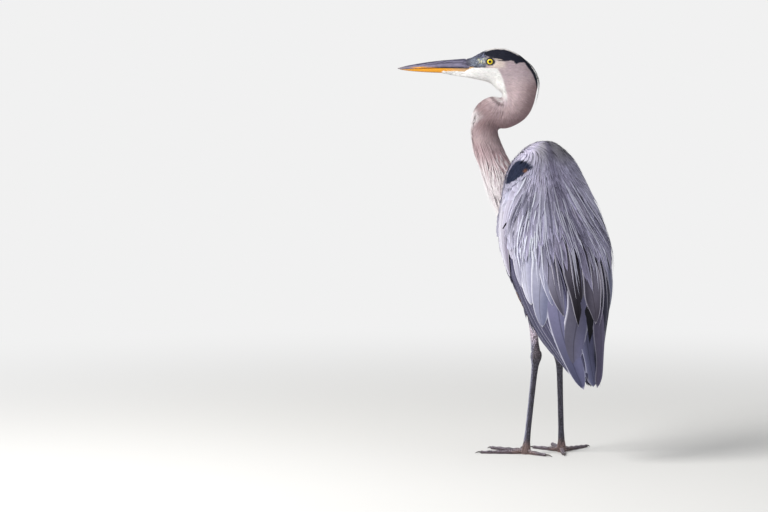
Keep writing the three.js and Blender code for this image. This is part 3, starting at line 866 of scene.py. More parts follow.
# A kind of small feather. Lengths, width, the spacing of roots, how deep the root and how high the tip lies
# are in metres. Camber and tilt are shares of the half width, and spread is how far the shades differ. Climb is
# how soon a feather comes up from its root. Edges is how bright the left edge, the middle and the right edge are.
Kind = namedtuple(
    "Kind", "shortest longest width spacing depth lift camber tilt spread shape steps climb edges",
    defaults=(1.4, (1.06, 0.94, 1.06)),
)
KINDS = {
    "face": Kind(0.0045, 0.0065, 0.0018, 0.00120, 0.0010, 0.0002, 0.22, 0.06, 0.06, "lance", 4),
    "crown": Kind(0.0095, 0.0140, 0.0022, 0.00150, 0.0014, 0.0003, 0.20, 0.06, 0.06, "lance", 5),
    "throat": Kind(0.0080, 0.0120, 0.0024, 0.00165, 0.0014, 0.0003, 0.20, 0.06, 0.04, "lance", 5),
    "neck": Kind(0.0140, 0.0200, 0.0028, 0.00190, 0.0026, 0.0002, 0.18, 0.05, 0.06, "lance", 6),
    "neck_low": Kind(0.0200, 0.0300, 0.0034, 0.00240, 0.0034, 0.0003, 0.18, 0.05, 0.08, "lance", 6),
    "mantle": Kind(
        0.0240, 0.0440, 0.0034, 0.00330, 0.0036, 0.0005, 0.16, 0.06, 0.10, "lance", 7,
        edges=(1.20, 0.86, 1.20),
    ),
    "lesser": Kind(0.0260, 0.0360, 0.0190, 0.01000, 0.0040, 0.0002, 0.06, 0.03, 0.04, "round", 8),
    "median": Kind(0.0400, 0.0520, 0.0230, 0.00900, 0.0046, 0.0004, 0.06, 0.03, 0.04, "round", 8),
    "scapular": Kind(
        0.0340, 0.1120, 0.0120, 0.01050, 0.0034, 0.0010, 0.10, 0.05, 0.10, "leaf", 14, 4.0, (0.97, 0.86, 0.97)
    ),
    "plume": Kind(
        0.0500, 0.1500, 0.0029, 0.01050, 0.0012, 0.0032, 0.20, 0.06, 0.05, "lance", 16, 8.0, (1.1, 0.95, 1.1)
    ),
    "breast": Kind(0.0240, 0.0340, 0.0060, 0.00420, 0.0050, 0.0006, 0.16, 0.06, 0.06, "leaf", 6),
    "belly": Kind(0.0200, 0.0300, 0.0060, 0.00430, 0.0050, 0.0006, 0.16, 0.06, 0.06, "leaf", 6),
    "thigh": Kind(0.0130, 0.0180, 0.0036, 0.00240, 0.0026, 0.0003, 0.18, 0.05, 0.05, "lance", 5),
    "patch": Kind(0.0130, 0.0190, 0.0040, 0.00230, 0.0034, 0.0010, 0.16, 0.05, 0.08, "leaf", 6),
    "hackle": Kind(0.0550, 0.1150, 0.0021, 0.00360, 0.0, 0.0, 0.20, 0.10, 0.11, "lance", 12),
    "crest": Kind(0.0500, 0.0850, 0.0018, 0.00420, 0.0010, 0.0040, 0.20, 0.10, 0.0, "lance", 12, 3.0),
}


def scatter(wanted, spacing, rng):
    """Points spread evenly over the guide's faces where wanted is above 0, about one spacing apart."""
    corners = guide.points[guide.corners]
    b, c, d = (corners[:, i] - corners[:, 0] for i in (1, 2, 3))
    area = np.linalg.norm(np.cross(b, c), axis=1) / 2 + np.linalg.norm(np.cross(c, d), axis=1) / 2
    area = area * (wanted > 0)
    tries = int(area.sum() / spacing**2 * 2.0)
    chosen = rng.choice(len(area), tries, p=area / area.sum())
    u, v = rng.random((2, tries))
    a, b, c, d = corners[chosen].transpose(1, 0, 2)
    low = a + (b - a) * u[:, None]
    high = d + (c - d) * u[:, None]
    places = low + (high - low) * v[:, None]
    cells, kept = {}, []
    keys = np.floor(places / spacing).astype(int).tolist()
    for p, (i, j, k) in zip(places.tolist(), keys):
        near = (
            q
            for x in (i - 1, i, i + 1)
            for y in (j - 1, j, j + 1)
            for z in (k - 1, k, k + 1)
            for q in cells.get((x, y, z), ())
        )
        if all((p[0] - q[0]) ** 2 + (p[1] - q[1]) ** 2 + (p[2] - q[2]) ** 2 > spacing**2 * 0.7 for q in near):
            cells.setdefault((i, j, k), []).append(p)
            kept.append(p)
    return np.array(kept)


def follow(roots, lengths, steps):
    """Smooth paths from the roots along the lie of the feathers, and the outward directions on them."""
    traced = [guide.trace(p, length, steps) for p, length in zip(roots, lengths)]
    path = np.array([smooth_path([tuple(v) for v in points]) for points, _ in traced])
    return path, unit([smooth_path([tuple(v) for v in normals]) for _, normals in traced])


def lay_tufts(path, normal, widths, kind, tint, rng):
    """Three columns a vane: two edges and a raised middle. Returns points and colours."""
    n, stations, _ = path.shape
    s = np.linspace(0, 1, stations)
    wide = widths.mean() > FOLLOW_WIDTH
    sideways = unit(np.cross(unit(np.gradient(path, axis=1)), normal))
    bend = rng.normal(0, 0.045, (n, 1)) * s**2 * np.linalg.norm(path[:, -1] - path[:, 0], axis=1)[:, None]
    buried = (1 - s) ** kind.climb
    least, risen = (0.3, s**2) if kind.climb < 2 else (0.7, 1 - buried)
    raise_by = rng.uniform(least, 1.0, (n, 1)) * kind.lift * risen - kind.depth * (buried + 0.06)
    middle = path + sideways * bend[..., None] + normal * raise_by[..., None]
    half = widths[:, None] / 2 * profile(kind.shape, s)
    slope = rng.normal(0, kind.tilt, (n, 1))
    columns = []
    for t in (-1, 0, 1):
        height = kind.camber * half * (1 - t * t) + slope * half * t
        column = middle + sideways * (half * t)[..., None]
        if t and wide:
            level = ((column - path) * normal).sum(2)
            place, outward = guide.nearest(column - normal * level[..., None])
            column = place + outward * level[..., None]
        columns.append(column + normal * height[..., None])
    dim, start, end = (0.84, 0.45, 0.95) if wide else (0.80, 0.1, 0.9)
    along = dim + 0.22 * rise(s, start, end)  # feathers are darker where others shade them
    shades = tint.reshape(n, -1, 1, 3) * along[:, None, None] * np.array(kind.edges)[:, None]
    return np.stack(columns, 2), shades


def tufts_object(name, roots, path, normal, widths, kind, tint, rng, material):
    grid, shades = lay_tufts(path, normal, widths, kind, tint, rng)
    return vane_object(name, grid, None, shades, unwrap(roots), TUFT_PATCH, material)


def tuft_piece(name, kind_name, wanted, material, seed, shades_of=None):
    """A coat piece of many feathers of one kind, rooted on the guide's faces that are wanted."""
    kind = KINDS[kind_name]
    rng = np.random.default_rng(seed)
    roots = scatter(wanted, kind.spacing, rng)
    lengths = rng.uniform(kind.shortest, kind.longest, len(roots))
    if kind_name == "plume":
        lengths = np.minimum(lengths, plume_reach(roots, rng))
    path, normal = follow(roots, lengths, kind.steps)
    if kind_name in ("face", "crown"):
        ahead, side, above = head_coords(path).transpose(2, 0, 1)
        clear = (np.hypot(ahead, above) > LID_REACH).all(1) | (np.abs(side).max(1) < HEAD_MIDDLE)
        path, normal, roots = path[clear], normal[clear], roots[clear]
    n = len(roots)
    shade = rng.normal(1.0, kind.spread, (n, 1, 1)) * rng.normal(1.0, TINT_SPREAD, (n, 1, 3))
    tint = shades_of(path, rng) if shades_of else plumage(path) * shade
    widths = kind.width * rng.uniform(0.8, 1.2, n)
    return tufts_object(name, roots, path, normal, widths, kind, tint, rng, material)


HEM, HEM_OVER_COVERTS, HEM_CLUMPS, HEM_SCATTER = 0.285, 0.055, 0.016, 0.150  # heights in metres
PLUME_SLACK, PLUME_LEAST = 1.06, 0.030


def plume_reach(roots, rng):
    """How long a plume from each root may be, to end at a ragged hem, higher over the left wing's coverts."""
    angle = round_body(roots)
    coverts = rise(angle, 136, 122) * (roots[:, 0] > MID_X)
    clumps = np.sin(angle / 3.1) + np.sin(angle / 1.3 + 1.0)
    ends = HEM + HEM_OVER_COVERTS * coverts + HEM_CLUMPS * clumps + rng.random(len(roots)) * HEM_SCATTER
    return np.maximum((roots[:, 2] - ends) * PLUME_SLACK, PLUME_LEAST)


# ---------------------------------------------------------------------------------- materials
def new_material(name):
    made = bpy.data.materials.new(name)
    made.use_nodes = True
    return made, made.node_tree, made.node_tree.nodes["Principled BSDF"]


def add_node(tree, kind, inputs=None, **settings):
    """A node with its settings and inputs. An input is a number, a colour or another node's output socket."""
    made = tree.nodes.new(kind)
    for key, value in settings.items():
        setattr(made, key, value)
    for key, value in (inputs or {}).items():
        socket = made.inputs[key]
        if isinstance(value, bpy.types.NodeSocket):
            tree.links.new(value, socket)
        else:
            socket.default_value = value
    return made


def maths(tree, operation, first, *others):
    """One maths operation over all the values in turn."""
    for other in others or (0.0,):
        first = add_node(tree, "ShaderNodeMath", {0: first, 1: other}, operation=operation).outputs[0]
    return first


def product(tree, *values):
    return maths(tree, "MULTIPLY", *values)


def total(tree, *values):
    return maths(tree, "ADD", *values)


def ramp(tree, value, start, end, low, high):
    """value, from start to end, spread to run from low to high."""
    return add_node(tree, "ShaderNodeMapRange", {0: value, 1: start, 2: end, 3: low, 4: high}).outputs[0]


def between(tree, value, low, high):
    return ramp(tree, value, 0.0, 1.0, low, high)


def object_place(tree):
    return add_node(tree, "ShaderNodeTexCoord").outputs["Object"]


def stored(tree, name, output):
    """A value that the mesh stores for each vertex."""
    return add_node(tree, "ShaderNodeAttribute", attribute_name=name).outputs[output]


def noise_of(tree, scale, detail=3.0, vector=None):
    """Noise from 0 to 1, in object space unless a vector is given."""
    inputs = {"Vector": object_place(tree) if vector is None else vector, "Scale": scale, "Detail": detail}
    return add_node(tree, "ShaderNodeTexNoise", inputs).outputs[0]


def finish_shader(tree, shader, factor=None, rough=None, height=None, bump=(0, 0), **sockets):
    """The painted colour times a factor, a roughness, a bump's strength and distance, and plain sockets."""
    if factor is not None:
        inputs = {0: stored(tree, "tint", "Color"), "Scale": factor}
        tinted = add_node(tree, "ShaderNodeVectorMath", inputs, operation="SCALE").outputs[0]
        tree.links.new(tinted, shader.inputs["Base Color"])
    if height is not None:
        made = add_node(tree, "ShaderNodeBump", {"Height": height, "Strength": bump[0], "Distance": bump[1]})
        tree.links.new(made.outputs[0], shader.inputs["Normal"])
    tree.links.new(rough, shader.inputs["Roughness"])
    for key, value in sockets.items():
        shader.inputs[key.replace("_", " ")].default_value = value


SHAFT = (0.012, 0.035)  # half a vane's width is 0.5 here
RIM = (0.33, 0.43)


def feather_material(name, barbs, slant, roughness, shaft=1.0, edging=1.0):
    """Vanes: barbs run out and towards the tip from the shaft, and each vane is a little mottled. The shaft
    is shaft times as bright as the rest, and the edges are edging times as bright."""
    made, tree, shader = new_material(name)
    uv = add_node(tree, "ShaderNodeUVMap", uv_map="vane").outputs[0]
    split = add_node(tree, "ShaderNodeSeparateXYZ", {0: uv})
    from_shaft = maths(tree, "ABSOLUTE", maths(tree, "SUBTRACT", split.outputs[0], 0.5))
    rows = maths(
        tree, "SUBTRACT", product(tree, split.outputs[1], barbs), product(tree, from_shaft, barbs * slant)
    )
    wave = maths(tree, "SINE", product(tree, rows, 2 * math.pi))
    mottle, broad = noise_of(tree, 140.0), noise_of(tree, 22.0, 2.0)
    factor = product(
        tree, between(tree, mottle, 0.86, 1.14), between(tree, broad, 0.90, 1.10),
        total(tree, product(tree, wave, 0.045), 1.0),
    )
    if shaft != 1.0:
        factor = product(tree, factor, ramp(tree, from_shaft, *SHAFT, shaft, 1.0))
    if edging != 1.0:
        factor = product(tree, factor, ramp(tree, from_shaft, *RIM, 1.0, edging))
    rough = between(tree, mottle, roughness - 0.08, roughness + 0.10)
    finish_shader(tree, shader, factor, rough, wave, (0.25, 0.0002), Specular_IOR_Level=0.12)
    return made


def skin_material():
    """Bare skin and, where scaly is 1, the small round scales of the legs."""
    made, tree, shader = new_material("skin")
    scaly = stored(tree, "scaly", "Fac")
    stretch = {"Vector": object_place(tree), "Scale": (1, 1, 0.75)}
    inputs = {"Vector": add_node(tree, "ShaderNodeMapping", stretch).outputs[0], "Scale": 360.0}
    cells = add_node(tree, "ShaderNodeTexVoronoi", inputs, feature="DISTANCE_TO_EDGE")
    plate = ramp(tree, cells.outputs[0], 0.02, 0.24, 0.0, 1.0)
    grain, blotch = noise_of(tree, 900.0, 4.0), noise_of(tree, 55.0)
    lit = total(tree, product(tree, plate, 1.8), 0.16)
    scale_shade = total(tree, product(tree, maths(tree, "SUBTRACT", lit, 1.0), scaly), 1.0)
    factor = product(tree, between(tree, blotch, 0.78, 1.22), between(tree, grain, 0.88, 1.12), scale_shade)
    height = total(tree, product(tree, plate, scaly, 0.8), product(tree, grain, 0.25))
    rough = between(tree, grain, 0.48, 0.62)
    finish_shader(tree, shader, factor, rough, height, (0.7, 0.0004), Specular_IOR_Level=0.4)
    return made


def horn_material(name, roughness, streak):
    """Bill and claws: fine streaks along the length, over the painted colour."""
    made, tree, shader = new_material(name)
    streaks = noise_of(tree, 1.0, 4.0, stored(tree, "grain", "Vector"))
    mottle = noise_of(tree, 260.0)
    factor = product(tree, between(tree, streaks, 1 - streak, 1 + streak), between(tree, mottle, 0.92, 1.08))
    rough = between(tree, streaks, roughness - 0.08, roughness + 0.12)
    finish_shader(
        tree, shader, factor, rough, streaks, (0.35, 0.0002),
        Specular_IOR_Level=0.30, Coat_Weight=0.05, Coat_Roughness=0.3,
    )
    return made


def eye_material():
    """Fine rays run out from the pupil, under a clear coat."""
    made, tree, shader = new_material("eye")
    rays = noise_of(tree, 1.0, 3.0, stored(tree, "grain", "Vector"))
    factor, rough = between(tree, rays, 0.78, 1.22), between(tree, rays, 0.16, 0.26)
    finish_shader(tree, shader, factor, rough, Coat_Weight=0.35, Coat_Roughness=0.03, Specular_IOR_Level=0.25)
    return made


# ---------------------------------------------------------------------------------- skin
COAT_DEPTH = {
    "trunk": 0.0058, "thigh": 0.0034, "bill": 0.0010, "head": 0.0011,
    "neck_upper": 0.0028, "neck_middle": 0.0034, "neck_lower": 0.0042,
}
# The folded wings are mostly feather: the skin lies deeper under them and keeps back from their front edges.
WING_DEPTH, WING_LIMITS = 0.007, {"z": (0.470, 0.400), "angle": (50, 62)}
FRONT_PULL, FRONT_LIMITS = 0.007, {"angle": (55, 80, 7), "z": (0.400, 0.470, 0.015)}
LORE_BARE, LORE_LIMITS = 0.75, {"ahead": (8, 41, 3), "above": (-8.5, 6, 2)}
WING_FLESH_END = 0.410  # below this a folded wing is only feathers
# The skin under the coat takes its colours, darker: painted shade where it shows between the feathers.
SKIN_SHADE = 0.75
FACE_SPLIT = (-0.020, -0.026)  # faces ahead of and above these are split in four
FACE_SMOOTH = -0.022
TARSUS_GREY = (0.150, 0.155, 0.225)
# A painted highlight on the ridges of the scutes and the tops of the toes.
TARSUS_HIGHLIGHT = (0.60, 0.58, 0.70)
TARSUS_REAR = (0.045, 0.042, 0.062)
SHANK_PINK = (0.42, 0.35, 0.42)
HOCK_DARK = (0.10, 0.08, 0.10)
FOOT_BROWN = (0.15, 0.10, 0.095)
TOE_DARK = (0.085, 0.062, 0.075)
LID_RIM = np.array((0.012, 0.013, 0.018))
LID_GREY = np.array((0.03, 0.033, 0.045))


def body_skin():
    """Trunk, upper wings, neck, head and thighs as one surface, sunk by the coat's depth."""
    wings = flesh_solids(("wing_left", "wing_right"))
    wings = [cut_solid(wing, (0, 0, WING_FLESH_END), UP) for wing in wings]
    flesh = flesh_solids(("trunk",) + NECKS + HEAD_NODES + THIGHS) + bill_base(SKIN_BILL_END)
    made = voxel_union("skin_body", flesh + wings, SKIN_VOXEL, 5)
    mesh = made.data
    points, normals, edges = points_of(mesh), normals_of(mesh), edges_of(mesh)
    owner = guide.owner[guide.at(points)]
    on_trunk = owner == "trunk"
    ahead, _side, above = head_coords(points).T * 1000
    at = {"angle": np.abs(round_body(points)), "z": points[:, 2], "ahead": ahead, "above": above}
    depth = np.select([owner == name for name in COAT_DEPTH], list(COAT_DEPTH.values()))
    depth = relax((depth + WING_DEPTH * on_trunk * share_of(at, WING_LIMITS))[:, None], edges, 10)
    depth = depth * (1 - LORE_BARE * share_of(at, LORE_LIMITS))[:, None]
    out = unit(np.stack([points[:, 0] - MID_X, points[:, 1] - axis_y(at["z"]), 0 * ahead], 1))
    pull = FRONT_PULL * on_trunk * share_of(at, FRONT_LIMITS)
    # Painted shade: the coat's colours, darker.
    colour = plumage(points) * SKIN_SHADE
    points = relax(points - normals * depth - out * pull[:, None], edges, 2)
    faces = faces_of(mesh)
    bpy.data.objects.remove(made)
    return points, faces, colour


def refine_head(points, faces, colour):
    """Splits the faces of the face in four, so that folds can be shaped there."""
    ahead, _side, above = head_coords(points).T
    near = (ahead > FACE_SPLIT[0]) & (above > FACE_SPLIT[1])
    chosen = [f for f in faces if all(near[i] for i in f) and len(f) == 4]
    rest = [f for f in faces if not (all(near[i] for i in f) and len(f) == 4)]
    points, colour, middles = list(points), list(colour), {}

    def middle(key):
        if key not in middles:
            middles[key] = len(points)
            points.append(np.mean([points[i] for i in key], 0))
            colour.append(np.mean([colour[i] for i in key], 0))
        return middles[key]

    for f in chosen:
        hub = middle(tuple(sorted(f)))
        edges = [middle(tuple(sorted((f[i], f[(i + 1) % 4])))) for i in range(4)]
        rest += [(f[i], edges[i], hub, edges[i - 1]) for i in range(4)]
    made = []
    for f in rest:  # a whole face beside a split one takes up the new points on its edges
        corners = []
        for i, v in enumerate(f):
            corners.append(v)
            key = tuple(sorted((v, f[(i + 1) % len(f)])))
            if key in middles and middles[key] not in f:
                corners.append(middles[key])
        made.append(tuple(corners))
    return np.array(points), made, np.array(colour)


def bell(values, middle, width):
    return np.exp(-(((values - middle) / width) ** 2))


def shape_face(points):
    """The ridge over the eye, the hollow of the lores and the fold back from the corner of the bill."""
    ahead, side, above = head_coords(points).T * 1000
    brow = bell(above, 9.0, 3.0) * inside(ahead, -9, 15, 5)
    lore = bell(above, 0.5 + (ahead - 8) * 0.08, 2.6) * inside(ahead, 9, 28, 3)
    fold = bell(above, gape(ahead), 0.9) * inside(ahead, 0, 46, 3)
    outward = (0.9 * brow - 0.7 * lore - 0.8 * fold) * rise(np.abs(side), 5, 11)  # millimetres
    return points + AWAY * (np.sign(side) * outward / 1000)[:, None]


def eye_axes(side):
    """Outward, forward and upward directions of one eye, which looks a little forward and down."""
    out = AWAY * (-1 if side == "left" else 1)
    axis = unit(out + 0.10 * FORWARD - 0.03 * UP)
    ahead = unit(FORWARD - axis * (FORWARD @ axis))
    over = np.cross(axis, ahead)
    return axis, ahead, over * np.sign(over[2])


def eye_points(side, tilt, turn, radius):
    """Points near the eyeball: tilt from the eye's axis and turn from forward, upward, in radians."""
    axis, ahead, over = eye_axes(side)
    tilt, turn, radius = (np.asarray(v)[..., None] for v in np.broadcast_arrays(tilt, turn, radius))
    outward = np.cos(tilt) * axis + np.sin(tilt) * (np.cos(turn) * ahead + np.sin(turn) * over)
    return (EYES[side] + radius * outward).reshape(-1, 3)


LID_TURNS = 56
LID_OPENING = math.radians(40)
LID_CORNERS, LID_DROOP = math.radians(2.6), math.radians(1.6)
# Across a lid: degrees outward from the opening, and millimetres over the eyeball's surface.
LID_PROFILE = ((0, 0.05), (1.0, 0.42), (4.0, 0.66), (11, 0.60), (19, 0.22), (25, -0.6), (17, -1.6), (2, -1.2))


def eyelid(side):
    """A low closed ring round the eye, a little drawn out to the front and rear corners."""
    turn = (2 * math.pi * np.arange(LID_TURNS) / LID_TURNS)[:, None]
    opening = LID_OPENING + LID_CORNERS * np.cos(2 * turn) - LID_DROOP * np.sin(turn)
    out, over = np.array(LID_PROFILE).T
    points = eye_points(side, opening + np.radians(out), turn, EYE_RADIUS + over / 1000)
    faces = tube_faces(LID_TURNS, len(LID_PROFILE), joined=True)
    if side == "left":
        faces = [tuple(reversed(f)) for f in faces]
    across = rise(np.arange(len(LID_PROFILE)), 5, 8)
    return points, faces, np.tile(blend(LID_RIM, LID_GREY, across), (LID_TURNS, 1))


# facing is 1 at the front of the leg and -1 behind. The scutes are rows of plates down the tarsus's front
# and over the toes; ridge and toe_ridge run from 0 to 1 over each one. The other lengths are in metres.
SCUTES = {"over_ankle": (0.010, 0.026), "facing": (0.15, 0.6)}
TOE_TOPS = {"over_ankle": (0.012, 0), "upward": (0.1, 0.7)}
PADS = {"over_ankle": (0.012, 0), "upward": (0.3, -0.2)}
SCUTE_ROW, TOE_ROW, PAD_ROW = 0.0046, 0.0036, 0.011
SCUTE_HEIGHT, TOE_HEIGHT, PAD_HEIGHT = 0.00034, 0.00032, 0.0004
LEG_MARKS = (
    # The rear of the tarsus is darker, partly its own colour and partly painted shade.
    (TARSUS_REAR, 1.0, {"facing": (0.2, -0.5)}),
    # The ridges of the scutes are painted paler: a painted highlight.
    (TARSUS_HIGHLIGHT, 0.75, SCUTES | {"ridge": (0.25, 0.9)}),
    (SHANK_PINK, 1.0, {"over_hock": (0.004, 0.030)}),
    (HOCK_DARK, 0.85, {"over_hock": (-0.016, 0.014, 0.010), "facing": (0.7, -0.5)}),
    (FOOT_BROWN, 1.0, {"over_ankle": (0.020, 0.002)}),
    (TOE_DARK, 1.0, {"along_toe": (0.015, 0.04), "over_ankle": (0.012, 0)}),
    # Where the toes face up they are paler: a painted highlight.
    (TARSUS_HIGHLIGHT, 0.45, TOE_TOPS | {"toe_ridge": (0.3, 0.9)}),
)


def leg_places(side, points, normals):
    hock, ankle = leg_ends(side)
    toe = unit((centre(f"toe_{side}_middle") - ankle) * (1, 1, 0))
    z = points[:, 2]
    share = np.clip((z - ankle[2]) / (hock[2] - ankle[2]), 0, 1.2)
    out = points - (ankle + (hock - ankle) * share[:, None])
    facing = unit(out * (1, 1, 0)) @ toe
    along_toe = np.linalg.norm(out[:, :2], axis=1)
    rows, toe_rows = (z / SCUTE_ROW + 0.35 * (1 - facing)) % 1, (along_toe / TOE_ROW) % 1
    return {
        "facing": facing, "along_toe": along_toe, "upward": normals[:, 2],
        "over_ankle": z - ankle[2], "over_hock": z - hock[2],
        "ridge": rows * rise(rows, 1.0, 0.86), "toe_ridge": toe_rows * rise(toe_rows, 1.0, 0.85),
    }


def leg_skin(side):
    """Shank, hock, tarsus and toes as one surface, with scutes down the front and over the toes."""
    names = [f"shank_{side}", f"tarsus_{side}"] + [f"toe_{side}_{toe}" for toe in TOES]
    made = voxel_union(f"leg_{side}", flesh_solids(names), LEG_VOXEL, 4)
    points, normals, faces = points_of(made.data), normals_of(made.data), faces_of(made.data)
    bpy.data.objects.remove(made)
    at = leg_places(side, points, normals)
    scutes = share_of(at, SCUTES)
    relief = SCUTE_HEIGHT * at["ridge"] * scutes + TOE_HEIGHT * at["toe_ridge"] * share_of(at, TOE_TOPS)
    relief = relief + PAD_HEIGHT * np.sin(at["along_toe"] / PAD_ROW * math.pi) * share_of(at, PADS)
    points = points + normals * relief[:, None]
    points[:, 2] = np.maximum(points[:, 2], 0.0)
    return points, faces, lay(TARSUS_GREY, at, LEG_MARKS), 1 - 0.6 * scutes


def leg_ends(side):
    """The middle of the hock and of the ankle."""
    tarsus, shank = node_solid(f"tarsus_{side}")[0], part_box(f"shank_{side}")
    top = tarsus[tarsus[:, 2] > tarsus[:, 2].max() - 0.012].mean(0)
    low = tarsus[(tarsus[:, 2] > 0.030) & (tarsus[:, 2] < 0.060)].mean(0)
    ankle = low + (top - low) * (0.012 - low[2]) / (top[2] - low[2])
    return np.array([top[0], top[1], shank[0].z]), ankle


def skin_piece(material):
    points, faces, colour = refine_head(*body_skin())
    made = mesh_object("refined", points, faces)
    on_face = head_coords(points)[:, [0]] > FACE_SMOOTH
    points = shape_face(np.where(on_face, relax(points, edges_of(made.data), 2), points))
    bpy.data.objects.remove(made)
    parts = [(points, faces, colour, np.zeros(len(points)))]
    for side in SIDES:
        lid = eyelid(side)
        parts += [(*lid, np.zeros(len(lid[0]))), leg_skin(side)]
    made = mesh_object("skin", *join_solids([(p, f) for p, f, _, _ in parts]))
    paint(made.data, np.vstack([c for _, _, c, _ in parts]))
    scale = made.data.attributes.new("scaly", "FLOAT", "POINT")
    scale.data.foreach_set("value", np.concatenate([s for *_, s in parts]).astype(np.float32))
    legs = [f"{part}_{side}" for side in SIDES for part in ("shank", "tarsus")]
    toes = [f"toe_{side}_{toe}" for side in SIDES for toe in TOES]
    nodes = ("trunk", "head", "wing_left", "wing_right", *NECKS, *THIGHS, *legs, *toes)
    return place_piece(made, material, nodes)


# ---------------------------------------------------------------------------------- eyes, bill and claws
EYE_TURNS, EYE_TILTS = 64, 40
EYE_START, EYE_SPAN, EYE_CROWDING = 0.015, math.pi - 0.05, 1.25  # radians; the rings crowd towards the pupil
CORNEA = 0.0004
PUPIL = math.radians(18)
IRIS = math.radians(45)
IRIS_YELLOW = (0.84, 0.66, 0.025)
IRIS_INNER = (0.6048, 0.4752, 0.018)
IRIS_RIM = (0.36, 0.24, 0.012)
PUPIL_BLACK = (0.004, 0.004, 0.005)
EYEBALL_BLACK = (0.01, 0.01, 0.012)
EYE_MARKS = (
    (IRIS_RIM, 1.0, {"tilt": (IRIS - 0.20, IRIS - 0.04)}),
    (IRIS_INNER, 0.8, {"tilt": (PUPIL + 0.14, PUPIL)}),
    (PUPIL_BLACK, 1.0, {"tilt": (PUPIL + 0.025, PUPIL - 0.02)}),
    (EYEBALL_BLACK, 1.0, {"tilt": (IRIS - 0.03, IRIS + 0.03)}),
)


def flip_outward(made):
    """Turns a closed mesh's faces outward."""
    bm = bmesh.new()
    bm.from_mesh(made.data)
    bmesh.ops.recalc_face_normals(bm, faces=bm.faces[:])
    bm.to_mesh(made.data)
    bm.free()


def horn_piece(made, colours, grain, material, slot, *nodes):
    """A smooth piece, with the coordinate that its streaks follow stored for each vertex."""
    paint(made.data, colours)
    layer = made.data.attributes.new("grain", "FLOAT_VECTOR", "POINT")
    layer.data.foreach_set("vector", np.asarray(grain, np.float32).ravel())
    return place_piece(made, material, nodes)


def eye_piece(side, material):
    """An eyeball that bulges a little over the pupil, painted in rings round its axis."""
    tilt = EYE_START + EYE_SPAN * (np.arange(EYE_TILTS + 1) / EYE_TILTS) ** EYE_CROWDING
    turn = 2 * math.pi * np.arange(EYE_TURNS) / EYE_TURNS
    tilt, turn = np.meshgrid(tilt, turn, indexing="ij")
    points = eye_points(side, tilt, turn, EYE_RADIUS + CORNEA * rise(tilt, 0.75, 0.1))
    quads = [(a, d, c, b) for a, b, c, d in tube_faces(EYE_TILTS + 1, EYE_TURNS)]
    first, last = range(EYE_TURNS), range(EYE_TILTS * EYE_TURNS, (EYE_TILTS + 1) * EYE_TURNS)
    made = mesh_object(f"eye_ball_{side}", points, quads + [tuple(first), tuple(reversed(last))])
    flip_outward(made)
    colours = lay(IRIS_YELLOW, {"tilt": tilt}, EYE_MARKS).reshape(-1, 3)
    grain = np.stack([12 * np.cos(turn), 12 * np.sin(turn), 2 * tilt], -1)
    return horn_piece(made, colours, grain, material, "eye", f"eye_{side}")


def slices(node, along, across, up, places):
    """For each place along a direction, a node's least and most across and up, from the head's origin."""
    points, faces = node_solid(node)
    points = points - HEAD_ORIGIN
    pairs = np.array(sorted({tuple(sorted((f[i - 1], f[i]))) for f in faces for i in range(len(f))}))
    a, b = points[pairs[:, 0]], points[pairs[:, 1]]
    start, end = a @ along, b @ along
    rows = []
    for place in places:
        hit = (start - place) * (end - place) < 0
        t = ((place - start[hit]) / (end[hit] - start[hit]))[:, None]
        q = a[hit] + (b[hit] - a[hit]) * t
        rows.append((*np.percentile(q @ across, (0, 100)), *np.percentile(q @ up, (0, 100))))
    return np.array(rows)


BILL_STATIONS, BILL_RING = 110, 40
BILL_END_GAP, BILL_CROWDING = 0.0004, 1.15  # the sections crowd towards the tip
BILL_SMOOTH = 3  # sections to either side that each one is averaged with
GAPE_BELOW = 0.0118  # the line where the two halves meet, below the eyes
HORN_FLAT = 0.14  # how far the faces that meet bulge, as a share of a half's height
GROOVE, GROOVE_MM = (0.52, 0.12), (28, 118, 12)  # height and width as shares of the side; millimetres ahead
NOSTRIL, NOSTRIL_MM = (0.44, 0.07), (40, 54, 1.6)
# In these tables mm is the distance ahead of the eyes, share runs from 0 at the meeting faces to 1 outside,
# and over_gape is the height over the line where the halves meet, in metres.
UPPER_MARKS = (
    # The pale band and streaks along the upper half are partly its own horn streaks and partly a painted
    # highlight.
    (BILL_STREAK, 0.6, {"share": (0.18, 0.60, 0.14)}),
    (BILL_STREAK, 0.65, {"strands": (0.45, 0.95)}),
    (BILL_YELLOW, 1.0, {"mm": (106, 146, 12), "over_gape": (0.0006, -0.0006)}),
)
LOWER_MARKS = (
    (BILL_YELLOW, 1.0, {"mm": (40, 95)}),
    (times(BILL_DARK, 1.2), 0.8, {"share": (0.72, 1.0), "mm": (60, 120)}),
    (BILL_TIP, 0.70, {"mm": (148, 176)}),
    (times(BILL_DARK, 1.3), 1.0, {"mm": (96, 76), "over_gape": (-0.0006, 0.0006)}),
    (times(BILL_DARK, 1.4), 0.35, {"share": (0.30, 0.12), "mm": (95, 50)}),
)
CLAW_ROOT = (0.10, 0.085, 0.08)
CLAW_TIP = (0.022, 0.02, 0.022)


def bill_sections(node):
    """Places ahead of the eyes with the half width, middle, bottom and top of one half of the bill."""
    ahead = head_coords(node_solid(node)[0])[:, 0]
    start, end = ahead.min() + BILL_END_GAP, ahead.max() - BILL_END_GAP
    share = 1 - (1 - np.linspace(0, 1, BILL_STATIONS)) ** BILL_CROWDING
    places, window = start + (end - start) * share, 2 * BILL_SMOOTH + 1
    rows = slices(node, FORWARD, AWAY, UP, places).T
    rows = np.pad(rows, ((0, 0), (BILL_SMOOTH, BILL_SMOOTH)), mode="edge")
    near, far, bottom, top = (np.convolve(row, np.ones(window) / window, "valid") for row in rows)
    return places, (far - near) / 2, (near + far) / 2, bottom, top


